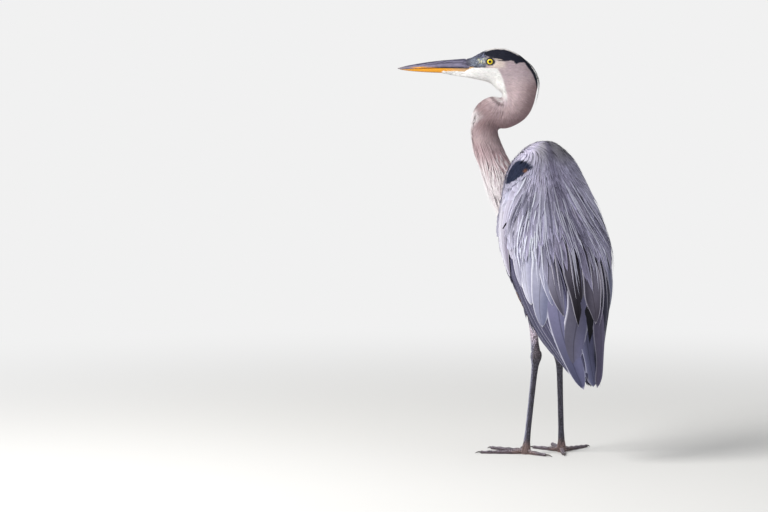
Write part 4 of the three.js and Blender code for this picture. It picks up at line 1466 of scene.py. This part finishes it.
def bill_colours(at, upper, groove, nostril):
    """groove and nostril are how far each point lies in them, from 0 to 1."""
    if not upper:
        return lay(BILL_PALE, at, LOWER_MARKS)
    # The groove and the nostril slit are darkened: painted shade in the hollows.
    colour = blend(lay(BILL_DARK, at, UPPER_MARKS), times(BILL_DARK, 0.45), 0.9 * nostril + 0.35 * groove)
    return blend(colour, BILL_TIP, 0.7 * rise(at["mm"], 150, 176))


def bill_piece(node, upper, material, slot):
    """One half of the bill from the CAD sections, with its ridge, groove and nostril."""
    places, half, middle, bottom, top = (row[:, None] for row in bill_sections(node))
    mm, turn = places * 1000, 2 * math.pi * np.arange(BILL_RING) / BILL_RING
    c, d = np.cos(turn), np.sin(turn)
    outer = d > 0 if upper else d < 0
    share = np.where(outer, np.abs(d) ** (0.80 if upper else 0.9), HORN_FLAT * (1 - c * c))
    shrink = 0.80 + 0.20 * rise(places - places[0], 0.002, 0.010)  # the root goes in under the skin
    tall = (top - bottom) * shrink
    height = bottom + tall * share if upper else top - tall * share
    groove = bell(share, *GROOVE) * inside(mm, *GROOVE_MM) * (d > 0) * upper
    nostril = bell(share, *NOSTRIL) * inside(mm, *NOSTRIL_MM) * (d > 0) * upper
    across = half * shrink * np.copysign(np.abs(c) ** 0.85, c) * (1 - 0.10 * groove - 0.26 * nostril)
    at = {"mm": mm, "share": share, "over_gape": height + GAPE_BELOW}
    at["strands"] = np.sin(share * 19 + 1.6 * np.sin(mm * 0.055) + 0.7 * np.sin(mm * 0.31))
    outward = AWAY * (middle + across)[..., None]
    points = HEAD_ORIGIN + FORWARD * places[..., None] + outward + UP * height[..., None]
    made = mesh_object(node + "_horn", points.reshape(-1, 3), closed_tube(BILL_STATIONS, BILL_RING))
    flip_outward(made)
    grain = np.stack(np.broadcast_arrays(mm * 0.05, c * 3.2, d * 3.2 + 7 * upper), -1)
    colours = bill_colours(at, upper, groove, nostril).reshape(-1, 3)
    return horn_piece(made, colours, grain, material, slot, node)


def claw_piece(side, material):
    """The claws of one foot, darker towards their tips."""
    nodes = [f"claw_{side}_{toe}" for toe in TOES]
    made = voxel_union(f"claws_{side}", [node_solid(n) for n in nodes], CLAW_VOXEL, 3)
    points = points_of(made.data)
    spread = np.linalg.norm((points - leg_ends(side)[1])[:, :2], axis=1)
    colours = blend(CLAW_ROOT, CLAW_TIP, rise(spread, spread.min(), spread.max()))
    grain = np.stack([spread * 120, points[:, 2] * 900, points[:, 0] * 500], 1)
    return horn_piece(made, colours, grain, material, "claw", *nodes)


# ---------------------------------------------------------------------------------- long feathers
VANE_THICKNESS = 0.0005
VANE_COLUMNS, VANE_STATIONS = 11, 30
GAP_REACH = 0.05  # from the trunk's axis, where there is no surface to hit


def surface_at(angle, z):
    """The guide's outer point at an angle round the body (degrees) and a height."""
    a = math.radians(angle)
    out = Vector((math.sin(a), -math.cos(a), 0))
    origin = Vector((MID_X, float(axis_y(z)), z))
    hit, _normal, face, _ = guide.bvh.ray_cast(origin + out * SHELL_REACH, -out, SHELL_REACH)
    if hit is None:
        hit, _normal, face, _ = guide.bvh.find_nearest(origin + out * GAP_REACH)
    return np.array(hit), np.array(guide.face_normal[face])


def long_vanes(feathers):
    """Lays each feather over the guide. A feather is (root, middle, tip, width, depth at root, depth at tip,
    tilt, shape); the first three are (angle in degrees, height), the rest metres."""
    s, across = np.linspace(0, 1, VANE_STATIONS), np.linspace(-1, 1, VANE_COLUMNS)
    grid = np.zeros((len(feathers), VANE_STATIONS, VANE_COLUMNS, 3))
    below = np.zeros((len(feathers), VANE_STATIONS, VANE_COLUMNS - 2, 3))
    weights = np.stack([2 * (s - 0.5) * (s - 1), -4 * s * (s - 1), 2 * s * (s - 0.5)], 1)
    for i, (root, middle, tip, width, sink0, sink1, tilt, shape) in enumerate(feathers):
        line, normals = zip(*[surface_at(*place) for place in weights @ np.array([root, middle, tip])])
        line, normals = smooth_path(line, 4), unit(smooth_path(normals, 4))
        tangents = unit(np.gradient(line, axis=0))
        sideways = unit(np.cross(tangents, normals))
        half = (width / 2 * profile(shape, s))[:, None]
        flat = line[:, None] + sideways[:, None] * (half * across)[..., None]
        near, outward = guide.nearest(flat)
        gap = np.linalg.norm(near - flat, axis=2, keepdims=True)
        share = rise(gap, 0.9 * half[..., None] + 0.002, 0.3 * half[..., None])
        near = smooth_path(flat + (near - flat) * share, 6)
        outward = unit(smooth_path(outward * share + normals[:, None], 6))
        sink = (sink1 + (sink0 - sink1) * (1 - s) ** 2)[:, None]
        lift = tilt * across + 0.08 * half * (1 - across**2) - sink
        grid[i] = near + outward * lift[..., None]
        thickness = VANE_THICKNESS * (1 - 0.6 * across[1:-1] ** 2)
        below[i] = (grid[i, :, 1:-1] - outward[:, 1:-1] * thickness[:, None])[:, ::-1]
    return grid, below


# Linear colours of the long feathers: at the root, at the tip, on the inner web, and along the pale edge.
# SHADED is a darker copy of SLATE for the right wing, away from the light: painted shade.
SHADED = ((0.040, 0.038, 0.066), (0.034, 0.034, 0.060), (0.014, 0.015, 0.028), (0.30, 0.29, 0.38))
SLATE = ((0.088, 0.082, 0.148), (0.060, 0.060, 0.110), (0.020, 0.022, 0.045), (0.50, 0.49, 0.62))
BLUE_SLATE = ((0.09, 0.09, 0.155), (0.145, 0.150, 0.260), (0.07, 0.07, 0.13), (0.42, 0.42, 0.55))
DEEP_SLATE = ((0.165, 0.160, 0.265), (0.045, 0.048, 0.095), (0.115, 0.115, 0.205), (0.56, 0.56, 0.68))
DUSK = ((0.135, 0.118, 0.190), (0.108, 0.098, 0.172), (0.050, 0.045, 0.074), (0.46, 0.45, 0.57))
GREY = ((0.090, 0.085, 0.122), (0.072, 0.069, 0.104), (0.112, 0.110, 0.190), (0.62, 0.61, 0.72))
GREY_BROWN = ((0.260, 0.250, 0.340), (0.060, 0.055, 0.080), (0.155, 0.148, 0.215), (0.50, 0.49, 0.59))
DIM_BROWN = ((0.140, 0.130, 0.180), (0.052, 0.046, 0.066), (0.050, 0.045, 0.066), (0.46, 0.44, 0.53))
BROWN = ((0.105, 0.096, 0.132), (0.008, 0.006, 0.009), (0.028, 0.024, 0.034), (0.50, 0.48, 0.57))
# Near black, for vanes laid where the gaps between feathers show: painted shadow.
PAINTED_GAP_SHADOW = ((0.010, 0.010, 0.014), (0.008, 0.008, 0.012), (0.008, 0.008, 0.012), (0.02, 0.02, 0.03))
COVERT = ((0.40, 0.39, 0.49), (0.37, 0.365, 0.47), (0.16, 0.165, 0.26), (0.80, 0.79, 0.88))
COVERT_EDGE = ((0.60, 0.58, 0.68), (0.66, 0.64, 0.75), (0.16, 0.13, 0.20), (0.90, 0.89, 0.96))
COVERT_PALE = ((0.42, 0.40, 0.50), (0.46, 0.44, 0.55), (0.34, 0.32, 0.42), (0.78, 0.76, 0.86))
COVERT_WHITE = ((0.46, 0.46, 0.57), (0.52, 0.52, 0.64), (0.28, 0.28, 0.40), (0.95, 0.95, 1.0))
COVERT_DARK = ((0.34, 0.34, 0.44), (0.22, 0.225, 0.33), (0.13, 0.14, 0.23), (0.72, 0.72, 0.82))
TAIL_DARK = ((0.03, 0.03, 0.05), (0.035, 0.037, 0.065), (0.020, 0.021, 0.037), (0.08, 0.08, 0.12))
PLUME_LINE = ((0.26, 0.25, 0.33), (0.40, 0.38, 0.47), (0.20, 0.19, 0.26), (0.66, 0.64, 0.72))
PLUME_WHITE = ((0.40, 0.42, 0.52), (0.70, 0.73, 0.82), (0.30, 0.34, 0.42), (0.88, 0.90, 0.95))

# The tips of the rows that lie deepest, from the wing's front edge in: angle round the body, height.
PRIMARY_TIPS = (
    (58, 0.266), (55, 0.247), (52, 0.229), (50, 0.212), (51, 0.196), (58, 0.181), (74, 0.167), (98, 0.155),
    (118, 0.147),
)
SECONDARY_TIPS = (
    (104, 0.215), (114, 0.198), (124, 0.184), (134, 0.172), (144, 0.162), (153, 0.158), (162, 0.160),
)
TAIL_TIPS = (158, 164, 170, 175, 180, 185, 190, 196, 202)

# Single feathers that show: root, middle, tip, width, depth at root and tip (millimetres), colours, shape.
# Angles are round the body towards the feather's own wing, heights in metres.
OUTER_FEATHERS = (
    ((70, 0.500), (75, 0.425), (66, 0.344), 54, -0.6, 0.4, COVERT_EDGE, "leaf"),
    ((103, 0.470), (101, 0.425), (90, 0.380), 30, 0.2, 0.4, COVERT_PALE, "round"),
    ((106, 0.450), (102, 0.388), (94, 0.327), 34, 1.6, 1.4, COVERT, "round"),
    ((117, 0.440), (110, 0.362), (99, 0.296), 34, 2.0, 1.5, COVERT_WHITE, "round"),
    ((136, 0.430), (129, 0.340), (106, 0.255), 46, 1.8, 1.1, COVERT_DARK, "round"),
    ((92, 0.500), (88, 0.465), (80, 0.431), 30, -0.6, -0.4, COVERT_PALE, "round"),
    # A thin black vane that makes the dark notch in the coverts: painted shadow.
    ((88, 0.4475), (84, 0.4415), (79, 0.4345), 5.5, -2.4, -2.0, PAINTED_GAP_SHADOW, "lance"),
)
LEFT_FEATHERS = (
    ((182, 0.300), (175, 0.222), (187, 0.148), 38, 3.2, 3.0, BLUE_SLATE, "curled"),
    # A black vane where a gap opens among the inner feathers over the back: painted shadow.
    ((184, 0.345), (183, 0.290), (179, 0.230), 36, 2.8, 2.4, PAINTED_GAP_SHADOW, "lance"),
    ((142, 0.390), (144, 0.258), (127, 0.139), 60, 2.2, 2.2, DEEP_SLATE, "blade"),
    ((170, 0.370), (166, 0.275), (137, 0.183), 54, 1.8, 1.2, GREY, "blade"),
    ((145, 0.420), (145, 0.350), (151, 0.280), 33, 1.4, 0.8, GREY_BROWN, "leaf"),
    ((134, 0.420), (137, 0.360), (139, 0.300), 26, 1.3, 0.8, COVERT_DARK, "leaf"),
    ((168, 0.430), (170, 0.345), (166, 0.262), 42, 1.2, 0.6, BROWN, "leaf"),
)
# The right wing's outer feathers in SHADED are painted shade.
RIGHT_FEATHERS = (
    ((140, 0.400), (147, 0.300), (150, 0.180), 36, 3.4, 3.0, SHADED, "leaf"),
    ((160, 0.340), (166, 0.245), (157, 0.146), 38, 2.6, 0.8, DUSK, "curled"),
    ((150, 0.400), (157, 0.320), (160, 0.235), 26, 1.6, 1.2, SHADED, "leaf"),
    ((162, 0.410), (168, 0.340), (173, 0.266), 42, 1.1, 0.6, DIM_BROWN, "leaf"),
)
# Thin plumes that lie over everything else.
LEFT_PLUMES = (
    ((151, 0.470), (150, 0.390), (151, 0.313), 6.5, 0, -2.2, PLUME_LINE, "lance"),
    ((160, 0.460), (156, 0.412), (155, 0.370), 5.0, 0, -2.0, PLUME_LINE, "lance"),
    ((193, 0.450), (184, 0.372), (180, 0.292), 6.5, 0, -2.2, PLUME_LINE, "lance"),
    ((129, 0.500), (129, 0.425), (121, 0.356), 5.5, 0, -2.2, PLUME_WHITE, "lance"),
    ((123, 0.500), (123, 0.435), (118, 0.369), 5.0, 0, -2.0, PLUME_WHITE, "lance"),
    ((116, 0.500), (117, 0.450), (112, 0.395), 4.5, 0, -2.0, PLUME_WHITE, "lance"),
    ((139, 0.450), (144, 0.390), (146, 0.333), 6.0, 0, -2.1, PLUME_LINE, "lance"),
    ((110, 0.500), (109, 0.448), (103, 0.395), 5.0, 0, -2.0, PLUME_LINE, "lance"),
    ((172, 0.440), (169, 0.370), (167, 0.312), 5.5, 0, -2.1, PLUME_LINE, "lance"),
)
RIGHT_PLUMES = (
    ((126, 0.450), (143, 0.375), (146, 0.309), 6.0, 0, -2.2, PLUME_LINE, "lance"),
    ((145, 0.440), (154, 0.350), (170, 0.261), 6.5, 0, -2.2, PLUME_LINE, "lance"),
    ((160, 0.450), (164, 0.380), (169, 0.318), 5.5, 0, -2.1, PLUME_LINE, "lance"),
    ((135, 0.440), (148, 0.360), (156, 0.290), 5.5, 0, -2.1, PLUME_LINE, "lance"),
)


def vane_colours(palette, lead, edge_reach, rng):
    """Colours of one long vane: root to tip, a darker inner web and a pale edge on the leading side, where
    lead is 1 or -1."""
    root, tip, inner, edge = palette
    s = np.linspace(0, 1, VANE_STATIONS)[:, None]
    t = np.linspace(-1, 1, VANE_COLUMNS)[None, :] * lead
    colour = blend(blend(root, tip, rise(s, 0.2, 0.95)), inner, rise(t, 0.30, -0.75) * 0.85)
    border = np.maximum(rise(t, 1 - edge_reach, 1.0) * rise(s, 0.06, 0.3), 0.75 * rise(s, 0.965, 1.0))
    return blend(colour, edge, np.maximum(border, 0.40 * rise(t, -0.88, -1.0))) * rng.normal(1.0, 0.04)


def atlas(count):
    """A place and size for each long feather on its own part of the bake's map."""
    across = int(math.ceil(math.sqrt(count * 3)))
    down = int(math.ceil(count / across))
    places = [((i % across + 0.5) / across, (i // across + 0.5) / down) for i in range(count)]
    return np.array(places), (0.86 / across, 0.92 / down)


def row_of(tips, roots, width, sinks, tilt, bow, rng):
    """Leaf-shaped feathers whose roots run evenly along a line while their tips follow a list."""
    made = []
    for i, tip in enumerate(tips):
        share = i / (len(tips) - 1)
        root = blend(roots[0], roots[1], share)
        tip = np.array(tip) + rng.normal(0, (0.8, 0.0012))
        sink, wide = blend(sinks[0], sinks[1], share), blend(width[0], width[1], share)
        wide = wide * rng.uniform(0.96, 1.04)
        made.append((root, (root + tip) / 2 + (bow, 0), tip, wide, sink + 0.002, sink, tilt, "leaf"))
    return made


def long_piece(name, feathers, palettes, edge_reach, sign, seed, material, replaced=()):
    """One piece of long feathers. sign is 1 on the left wing, and -1 mirrors the angles for the right."""
    rng = np.random.default_rng(seed)
    mirror = np.array([sign, 1.0])
    feathers = [(*(np.array(a) * mirror for a in f[:3]), *f[3:6], f[6] * sign, f[7]) for f in feathers]
    grid, below = long_vanes(feathers)
    colours = np.stack([vane_colours(p, sign, edge_reach, rng) for p in palettes])
    places, patch = atlas(len(feathers))
    return vane_object(name, grid, below, colours, places, patch, material, replaced)


ROOT_SINK, TIP_SINK = 0.0030, 0.0008


def single_feathers(rows, tilt):
    """Feathers and palettes from a table. The depths in it count from how deep the rows lie anyway."""
    feathers = [
        (*places, width / 1000, deep / 1000 + ROOT_SINK, tip_deep / 1000 + TIP_SINK, tilt, shape)
        for *places, width, deep, tip_deep, _palette, shape in rows
    ]
    return feathers, [row[6] for row in rows]


def wing_feathers(side, material):
    """Primaries and secondaries deep down, then the feathers that show, from the innermost to the coverts."""
    sign = 1 if side == "left" else -1
    rng = np.random.default_rng(40 + sign)
    rows = row_of(PRIMARY_TIPS, ((62, 0.430), (92, 0.400)), (0.022, 0.027), (0.0048, 0.0044), 0.0009, -1, rng)
    # The right wing's deep rows take SHADED, the darker copy: painted shade.
    deep = SLATE if side == "left" else SHADED
    long_piece(f"primaries_{side}", rows, [deep] * len(rows), 0.12, sign, 50, material)
    roots = (76, 0.400), (150, 0.390)
    rows = row_of(SECONDARY_TIPS, roots, (0.030, 0.036), (0.0052, 0.0042), 0.0010, 4, rng)
    long_piece(f"secondaries_{side}", rows, [deep] * len(rows), 0.10, sign, 52, material)
    inner, palettes = single_feathers(LEFT_FEATHERS if side == "left" else RIGHT_FEATHERS, 0.0009)
    long_piece(f"tertials_{side}", inner, palettes, 0.07, sign, 54, material)
    outer, palettes = single_feathers(OUTER_FEATHERS, 0.0010)
    long_piece(f"greater_coverts_{side}", outer, palettes, 0.16, sign, 56, material)
    lines, palettes = single_feathers(LEFT_PLUMES if side == "left" else RIGHT_PLUMES, 0.0)
    long_piece(f"long_plumes_{side}", lines, palettes, 0.6, sign, 60, material)


def tail_piece(material):
    """A fan of tail feathers under the folded wings."""
    feathers = []
    for tip in TAIL_TIPS:
        off = tip - 180
        path = (180 + off * 0.35, 0.300), (180 + off * 0.7, 0.224), (tip, 0.148 + 0.00022 * abs(off))
        feathers.append((*path, 0.026, 0.0095, 0.0080 - 0.00006 * abs(off), 0.0004, "round"))
    long_piece("tail_feathers", feathers, [TAIL_DARK] * len(feathers), 0.05, 1, 58, material, ["tail"])


# ---------------------------------------------------------------------------------- coat
# Angles are in degrees and heights, z, in metres. On the head, all three distances are in millimetres.
def head_zones(middles, owner):
    ahead, side, above = head_coords(middles).T * 1000
    head, bill = owner == "head", owner == "bill"
    eye = (np.hypot(ahead, above) < 8.8) & (np.abs(side) > 6)
    lore = inside(ahead, 8, 29, 0.5) * inside(above, -11.4, 5.0, 0.5) * (np.abs(side) > 3) > 0.5
    throat = head & (above < -11.6) & (ahead > np.interp(above, THROAT_ABOVE, THROAT_AHEAD) - 3)
    front = head & (ahead > -14) & ~eye & ~lore & ~throat
    return {
        "face": front | (bill & (above > 4) & (ahead < 44)),
        "crown": head & ~front & ~throat & ~eye & ~lore,
        "throat": throat | (bill & (above < chin_edge(ahead) + 1.0)),
        "crest": head & (ahead < -60) & (above > -30) & (np.abs(side) < 7),
    }


def wing_zones(middles, owner):
    """The scapulars and plumes grow over the coverts, thinning out downward."""
    trunk, angle, z = owner == "trunk", np.abs(round_body(middles)), middles[:, 2]
    patch = in_patch(middles) > 0.4
    near_patch = in_patch(middles + UP * 0.004) + in_patch(middles - UP * 0.004) > 0.4
    wing = trunk & ((angle > 50) | (z > 0.545)) & ~patch
    lesser = wing & (angle > 61) & (angle < 106) & (z > 0.462) & (z < 0.540)
    scapular = (z > 0.415) & (z < 0.520) & (speckle(middles, 0.008) < rise(z, 0.405, 0.470))
    plume = (z > 0.400) & (speckle(middles, 0.006) < rise(z, 0.555, 0.470))
    return {
        "patch": trunk & patch,
        "lesser": lesser,
        "median": wing & (angle > 96) & (angle < 112) & (z > 0.420) & (z <= 0.465),
        "mantle": wing & ~lesser & (z > np.where(angle < 66, 0.410, 0.440)) & ~near_patch,
        "scapular": trunk & (angle > 100) & scapular,
        "plume": trunk & (angle > 100) & plume,
    }


def zones():
    """For each kind of small feather, the faces of the guide that it grows on."""
    middles = guide.points[guide.corners].mean(1)
    corner = guide.corners[:, 0]
    owner, angle, z = guide.owner[corner], np.abs(round_body(middles)), middles[:, 2]
    trunk, low_neck = owner == "trunk", np.isin(owner, ("neck_lower", "neck_middle"))
    throat_side = np.abs(guide.throat_angle[corner]) < 100
    return head_zones(middles, owner) | wing_zones(middles, owner) | {
        "neck": np.isin(owner, ("neck_upper", "neck_middle")),
        "neck_low": owner == "neck_lower",
        "breast": trunk & (angle < 50) & (z >= 0.39) & (z <= 0.545),
        "belly": trunk & (angle < 58) & (z < 0.39) & (z > TRUNK_END - 0.006),
        "thigh": owner == "thigh",
        "hackle": (low_neck | (trunk & (angle < 64))) & (z > 0.500) & (z < 0.598) & throat_side,
        "left": round_body(middles) > 0,
    }


PLUME_PALE = (0.70, 0.72, 0.83)
# Dark plumes, partly painted shade in the gaps between plumes.
PLUME_DARK = (0.11, 0.105, 0.165)


def plume_shades(path, rng):
    """Pale, middling and dark plumes side by side. The pale ones are palest over the left wing's inner coverts
    only, a painted highlight, and the dark ones are partly painted shade in the gaps between plumes.
    """
    n, middle = len(path), path[:, 6]
    pick = rng.random(n)
    # Brighter on the left wing only: a painted highlight.
    bright = 0.45 + 0.55 * inside(np.abs(round_body(middle)), 100, 134, 10) * (middle[:, 0] > MID_X)
    colour = blend(plumage(middle), PLUME_DARK, 0.80 * rise(pick, 0.36, 0.26))
    colour = blend(colour, PLUME_PALE, rise(pick, 0.44, 0.60) * bright)
    return colour * rng.normal(1, 0.07, (n, 1))


def streaked(path, rng):
    """Plumes the colour of the neck where they start, white ones further down, and a few dark ones."""
    n = len(path)
    own = plumage(path) * rng.normal(1, KINDS["hackle"].spread, (n, 1, 1))
    white = rise(path[..., 2], 0.575, 0.510) * (0.30 + 1.2 * rng.random((n, 1)))
    colour = blend(own, times(FORENECK, 1.06), np.clip(white, 0, 0.90))
    return blend(colour, STREAK, 0.7 * (rng.random((n, 1)) < 0.12) * rise(path[..., 2], 0.58, 0.54))


def low_neck_shades(path, rng):
    """The foot of the neck is finely streaked: white and brown tufts among the dusty pink ones."""
    n, middle = len(path), path[:, 6]
    pick, low = rng.random(n), rise(middle[:, 2], 0.590, 0.545)
    colour = blend(plumage(middle), times(FORENECK, 1.05), 0.85 * low * rise(pick, 0.55, 0.70))
    colour = blend(colour, times(NECK_BEND, 1.10), 0.66 * low * rise(pick, 0.32, 0.22))
    return colour * rng.normal(1, 0.08, (n, 1))


HACKLE_FALL = -UP - 0.30 * FORWARD + np.array([0, 0.10, 0])
HACKLE_CLEAR, HACKLE_SUNK = 0.0012, 0.002  # over the guide, and under it at the root
HACKLE_FLANK = np.array([0.97, 0.24, 0])  # each lies on its edge a little, its flat side to the bird's flank
FLANK_SHARE = 2.2


def hang_clear(line, flank):
    """Lifts a line of points off the guide. Returns it with the directions that its flat side faces."""
    normals = np.zeros_like(line)
    for k in range(len(line)):
        place = Vector(line[k])
        near, _normal, face, _gap = guide.bvh.find_nearest(place)
        outward = guide.face_normal[face]
        least = HACKLE_CLEAR * float(rise(k / (len(line) - 1), 0.0, 0.3)) - HACKLE_SUNK * (k == 0)
        if (place - near).dot(outward) < least:
            line[k] = near + outward * least
        normals[k] = np.array(outward) + flank
    return smooth_path(line, 3), smooth_path(normals, 6)


def hackle_piece(wanted, material):
    """The long plumes at the foot of the foreneck hang nearly straight and stand clear of the breast."""
    kind, rng = KINDS["hackle"], np.random.default_rng(30)
    roots = scatter(wanted, kind.spacing, rng)
    n = len(roots)
    along = np.linspace(0, 1, kind.steps + 1)[None, :, None]
    lengths = rng.uniform(kind.shortest, kind.longest, n)[:, None, None]
    lean = HACKLE_FALL + rng.normal(0, 0.035, (n, 3))
    start = roots - guide.normals[guide.at(roots)] * HACKLE_SUNK
    path = start[:, None] + unit(lean)[:, None] * along * lengths
    flank = FLANK_SHARE * HACKLE_FLANK * np.sign(start[:, [0]] - MID_X)
    path, normal = (np.array(lines) for lines in zip(*map(hang_clear, path, flank)))
    tint = streaked(path, rng)
    normal, widths = unit(normal), kind.width * rng.uniform(0.7, 1.2, n)
    tufts_object("feathers_foreneck", roots, path, normal, widths, kind, tint, rng, material)


def crest_piece(wanted, material):
    """Thin black plumes from the back of the head stripe, lying down the nape."""
    kind, rng = KINDS["crest"], np.random.default_rng(34)
    roots = scatter(wanted, kind.spacing, rng)
    n = len(roots)
    path, normal = follow(roots, rng.uniform(kind.shortest, kind.longest, n), kind.steps)
    tint = np.array(BLACK) * rng.uniform(0.8, 1.6, (n, 1))
    widths = kind.width * rng.uniform(0.8, 1.3, n)
    tufts_object("feathers_crest", roots, path, normal, widths, kind, tint, rng, material)


SHADES_OF = {"neck_low": low_neck_shades, "plume": plume_shades}
MIDDLE_PIECES = (  # name, kind and slot, in the order of their seeds
    ("feathers_face", "face", "plumage_neck"),
    ("feathers_head", "crown", "plumage_neck"),
    ("feathers_throat", "throat", "plumage_neck"),
    ("feathers_neck", "neck", "plumage_neck"),
    ("feathers_neck_low", "neck_low", "plumage_neck"),
    ("feathers_breast", "breast", "plumage_body"),
    ("feathers_belly", "belly", "plumage_body"),
)
SIDE_PIECES = (  # and the material
    ("feathers_mantle", "mantle", "plumage_body", "soft"),
    ("feathers_lesser", "lesser", "plumage_body", "body"),
    ("feathers_median", "median", "plumage_body", "body"),
    ("feathers_patch", "patch", "plumage_body", "soft"),
    ("feathers_thigh", "thigh", "plumage_thigh", "soft"),
    ("scapulars", "scapular", "plumage_body", "back"),
    ("plumes", "plume", "plumage_body", "soft"),
)
MIDDLE_SEED, SIDE_SEED = 1, 10


def coat(materials):
    zone, soft = zones(), materials["soft"]
    for i, (name, kind, slot) in enumerate(MIDDLE_PIECES):
        tuft_piece(name, kind, zone[kind], soft, MIDDLE_SEED + i, SHADES_OF.get(kind))
    hackle_piece(zone["hackle"], soft)
    crest_piece(zone["crest"], soft)
    for i, side in enumerate(SIDES):
        here = zone["left"] if side == "left" else ~zone["left"]
        for j, (name, kind, slot, look) in enumerate(SIDE_PIECES):
            seed, wanted = SIDE_SEED + 2 * j + i, zone[kind] & here
            tuft_piece(f"{name}_{side}", kind, wanted, materials[look], seed, SHADES_OF.get(kind))
        wing_feathers(side, materials["long"])
    tail_piece(materials["long"])


# ---------------------------------------------------------------------------------- stage
CAMERA_AZIMUTH = 155
CAMERA_ELEVATION = 6
CAMERA_DISTANCE = 16.0
VIEW_WIDTH = 1.459
SENSOR = 36.0
CLIP = (0.5, 200)
AIM = Vector((0.2086, -0.1810, 0.3722))
LAMP_AIM = Vector((MID_X, 0, 0.45))

FLOOR_HALF = 60.0
FLOOR_COLOUR = (0.82, 0.82, 0.81, 1)
FLOOR_FADE = (0.55, 2.2)  # metres from the bird; from here to there the floor fades into the backdrop
BACKDROP = 0.88
AMBIENT = 0.47


def direction(azimuth, elevation):
    """From the bird towards an azimuth and elevation in degrees."""
    a, e = math.radians(azimuth), math.radians(elevation)
    return Vector((math.sin(a) * math.cos(e), -math.cos(a) * math.cos(e), math.sin(e)))


def look_at(name, data, target, back, distance):
    """A camera or lamp that looks at a target from one direction."""
    made = new_object(name, data)
    made.location = target + back * distance
    made.rotation_mode = "QUATERNION"
    made.rotation_quaternion = (-back).to_track_quat("-Z", "Y")
    return made


def floor_piece():
    """A matt floor that the camera sees fade into the backdrop, so that there is no horizon."""
    corners = [(x * FLOOR_HALF, y * FLOOR_HALF, 0) for x, y in ((-1, -1), (1, -1), (1, 1), (-1, 1))]
    floor = mesh_object("floor", corners, [(0, 1, 2, 3)])
    made, tree, shader = new_material("floor")
    shader.inputs["Base Color"].default_value = FLOOR_COLOUR
    finish_shader(tree, shader, rough=between(tree, noise_of(tree, 30.0), 0.85, 0.95), Specular_IOR_Level=0.1)
    far = add_node(tree, "ShaderNodeVectorMath", {0: object_place(tree)}, operation="LENGTH").outputs["Value"]
    fade = {0: far, 1: FLOOR_FADE[0], 2: FLOOR_FADE[1]}
    away = add_node(tree, "ShaderNodeMapRange", fade, interpolation_type="SMOOTHSTEP").outputs[0]
    seen = add_node(tree, "ShaderNodeLightPath").outputs["Is Camera Ray"]
    glow = add_node(tree, "ShaderNodeEmission", {"Color": (BACKDROP, BACKDROP, BACKDROP, 1)})
    inputs = {0: product(tree, away, seen), 1: shader.outputs[0], 2: glow.outputs[0]}
    mix = add_node(tree, "ShaderNodeMixShader", inputs)
    tree.links.new(mix.outputs[0], tree.nodes["Material Output"].inputs["Surface"])
    floor.data.materials.append(made)


def backdrop():
    """The camera sees a plain light grey; everything else is lit by a dimmer one."""
    world = bpy.data.worlds.new("world")
    bpy.context.scene.world = world
    world.use_nodes = True
    tree = world.node_tree
    background = tree.nodes["Background"]
    seen = add_node(tree, "ShaderNodeLightPath").outputs["Is Camera Ray"]
    tree.links.new(between(tree, seen, AMBIENT, BACKDROP), background.inputs["Strength"])
    background.inputs["Color"].default_value = (1.0, 1.0, 1.0, 1)


def area_light(name, azimuth, elevation, distance, size, power, colour):
    """A soft lamp that looks at the bird."""
    light = bpy.data.lights.new(name, "AREA")
    light.shape, light.size, light.energy, light.color = "DISK", size, power, colour
    look_at(name, light, LAMP_AIM, direction(azimuth, elevation), distance)


def camera():
    """The photo's point of view, through a long lens."""
    data = bpy.data.cameras.new("camera")
    data.sensor_width, data.lens = SENSOR, SENSOR * CAMERA_DISTANCE / VIEW_WIDTH
    data.clip_start, data.clip_end = CLIP
    back = direction(CAMERA_AZIMUTH, CAMERA_ELEVATION)
    bpy.context.scene.camera = look_at("camera", data, AIM, back, CAMERA_DISTANCE)


materials = {
    "soft": feather_material("feather_soft", 5.0, 0.6, 0.66),
    "body": feather_material("feather_body", 9.0, 0.7, 0.58, shaft=0.82, edging=1.22),
    "back": feather_material("feather_back", 7.0, 0.8, 0.60, shaft=0.80, edging=1.75),
    "long": feather_material("feather_long", 60.0, 0.35, 0.52, shaft=0.62),
}
skin_piece(skin_material())
bill_piece("bill_upper", True, horn_material("bill_horn", 0.36, 0.50), "bill_upper")
bill_piece("bill_lower", False, horn_material("bill_lower_horn", 0.38, 0.12), "bill_lower")
claw_horn = horn_material("claw_horn", 0.4, 0.25)
glossy = eye_material()
for side in SIDES:
    eye_piece(side, glossy)
    claw_piece(side, claw_horn)
coat(materials)
floor_piece()
backdrop()
area_light("key", 95, 36, 3.2, 2.0, 104, (1.0, 0.985, 0.96))
area_light("fill", 200, 20, 3.6, 3.0, 12, (0.92, 0.95, 1.0))
camera()
bpy.context.scene.view_settings.view_transform = "Standard"
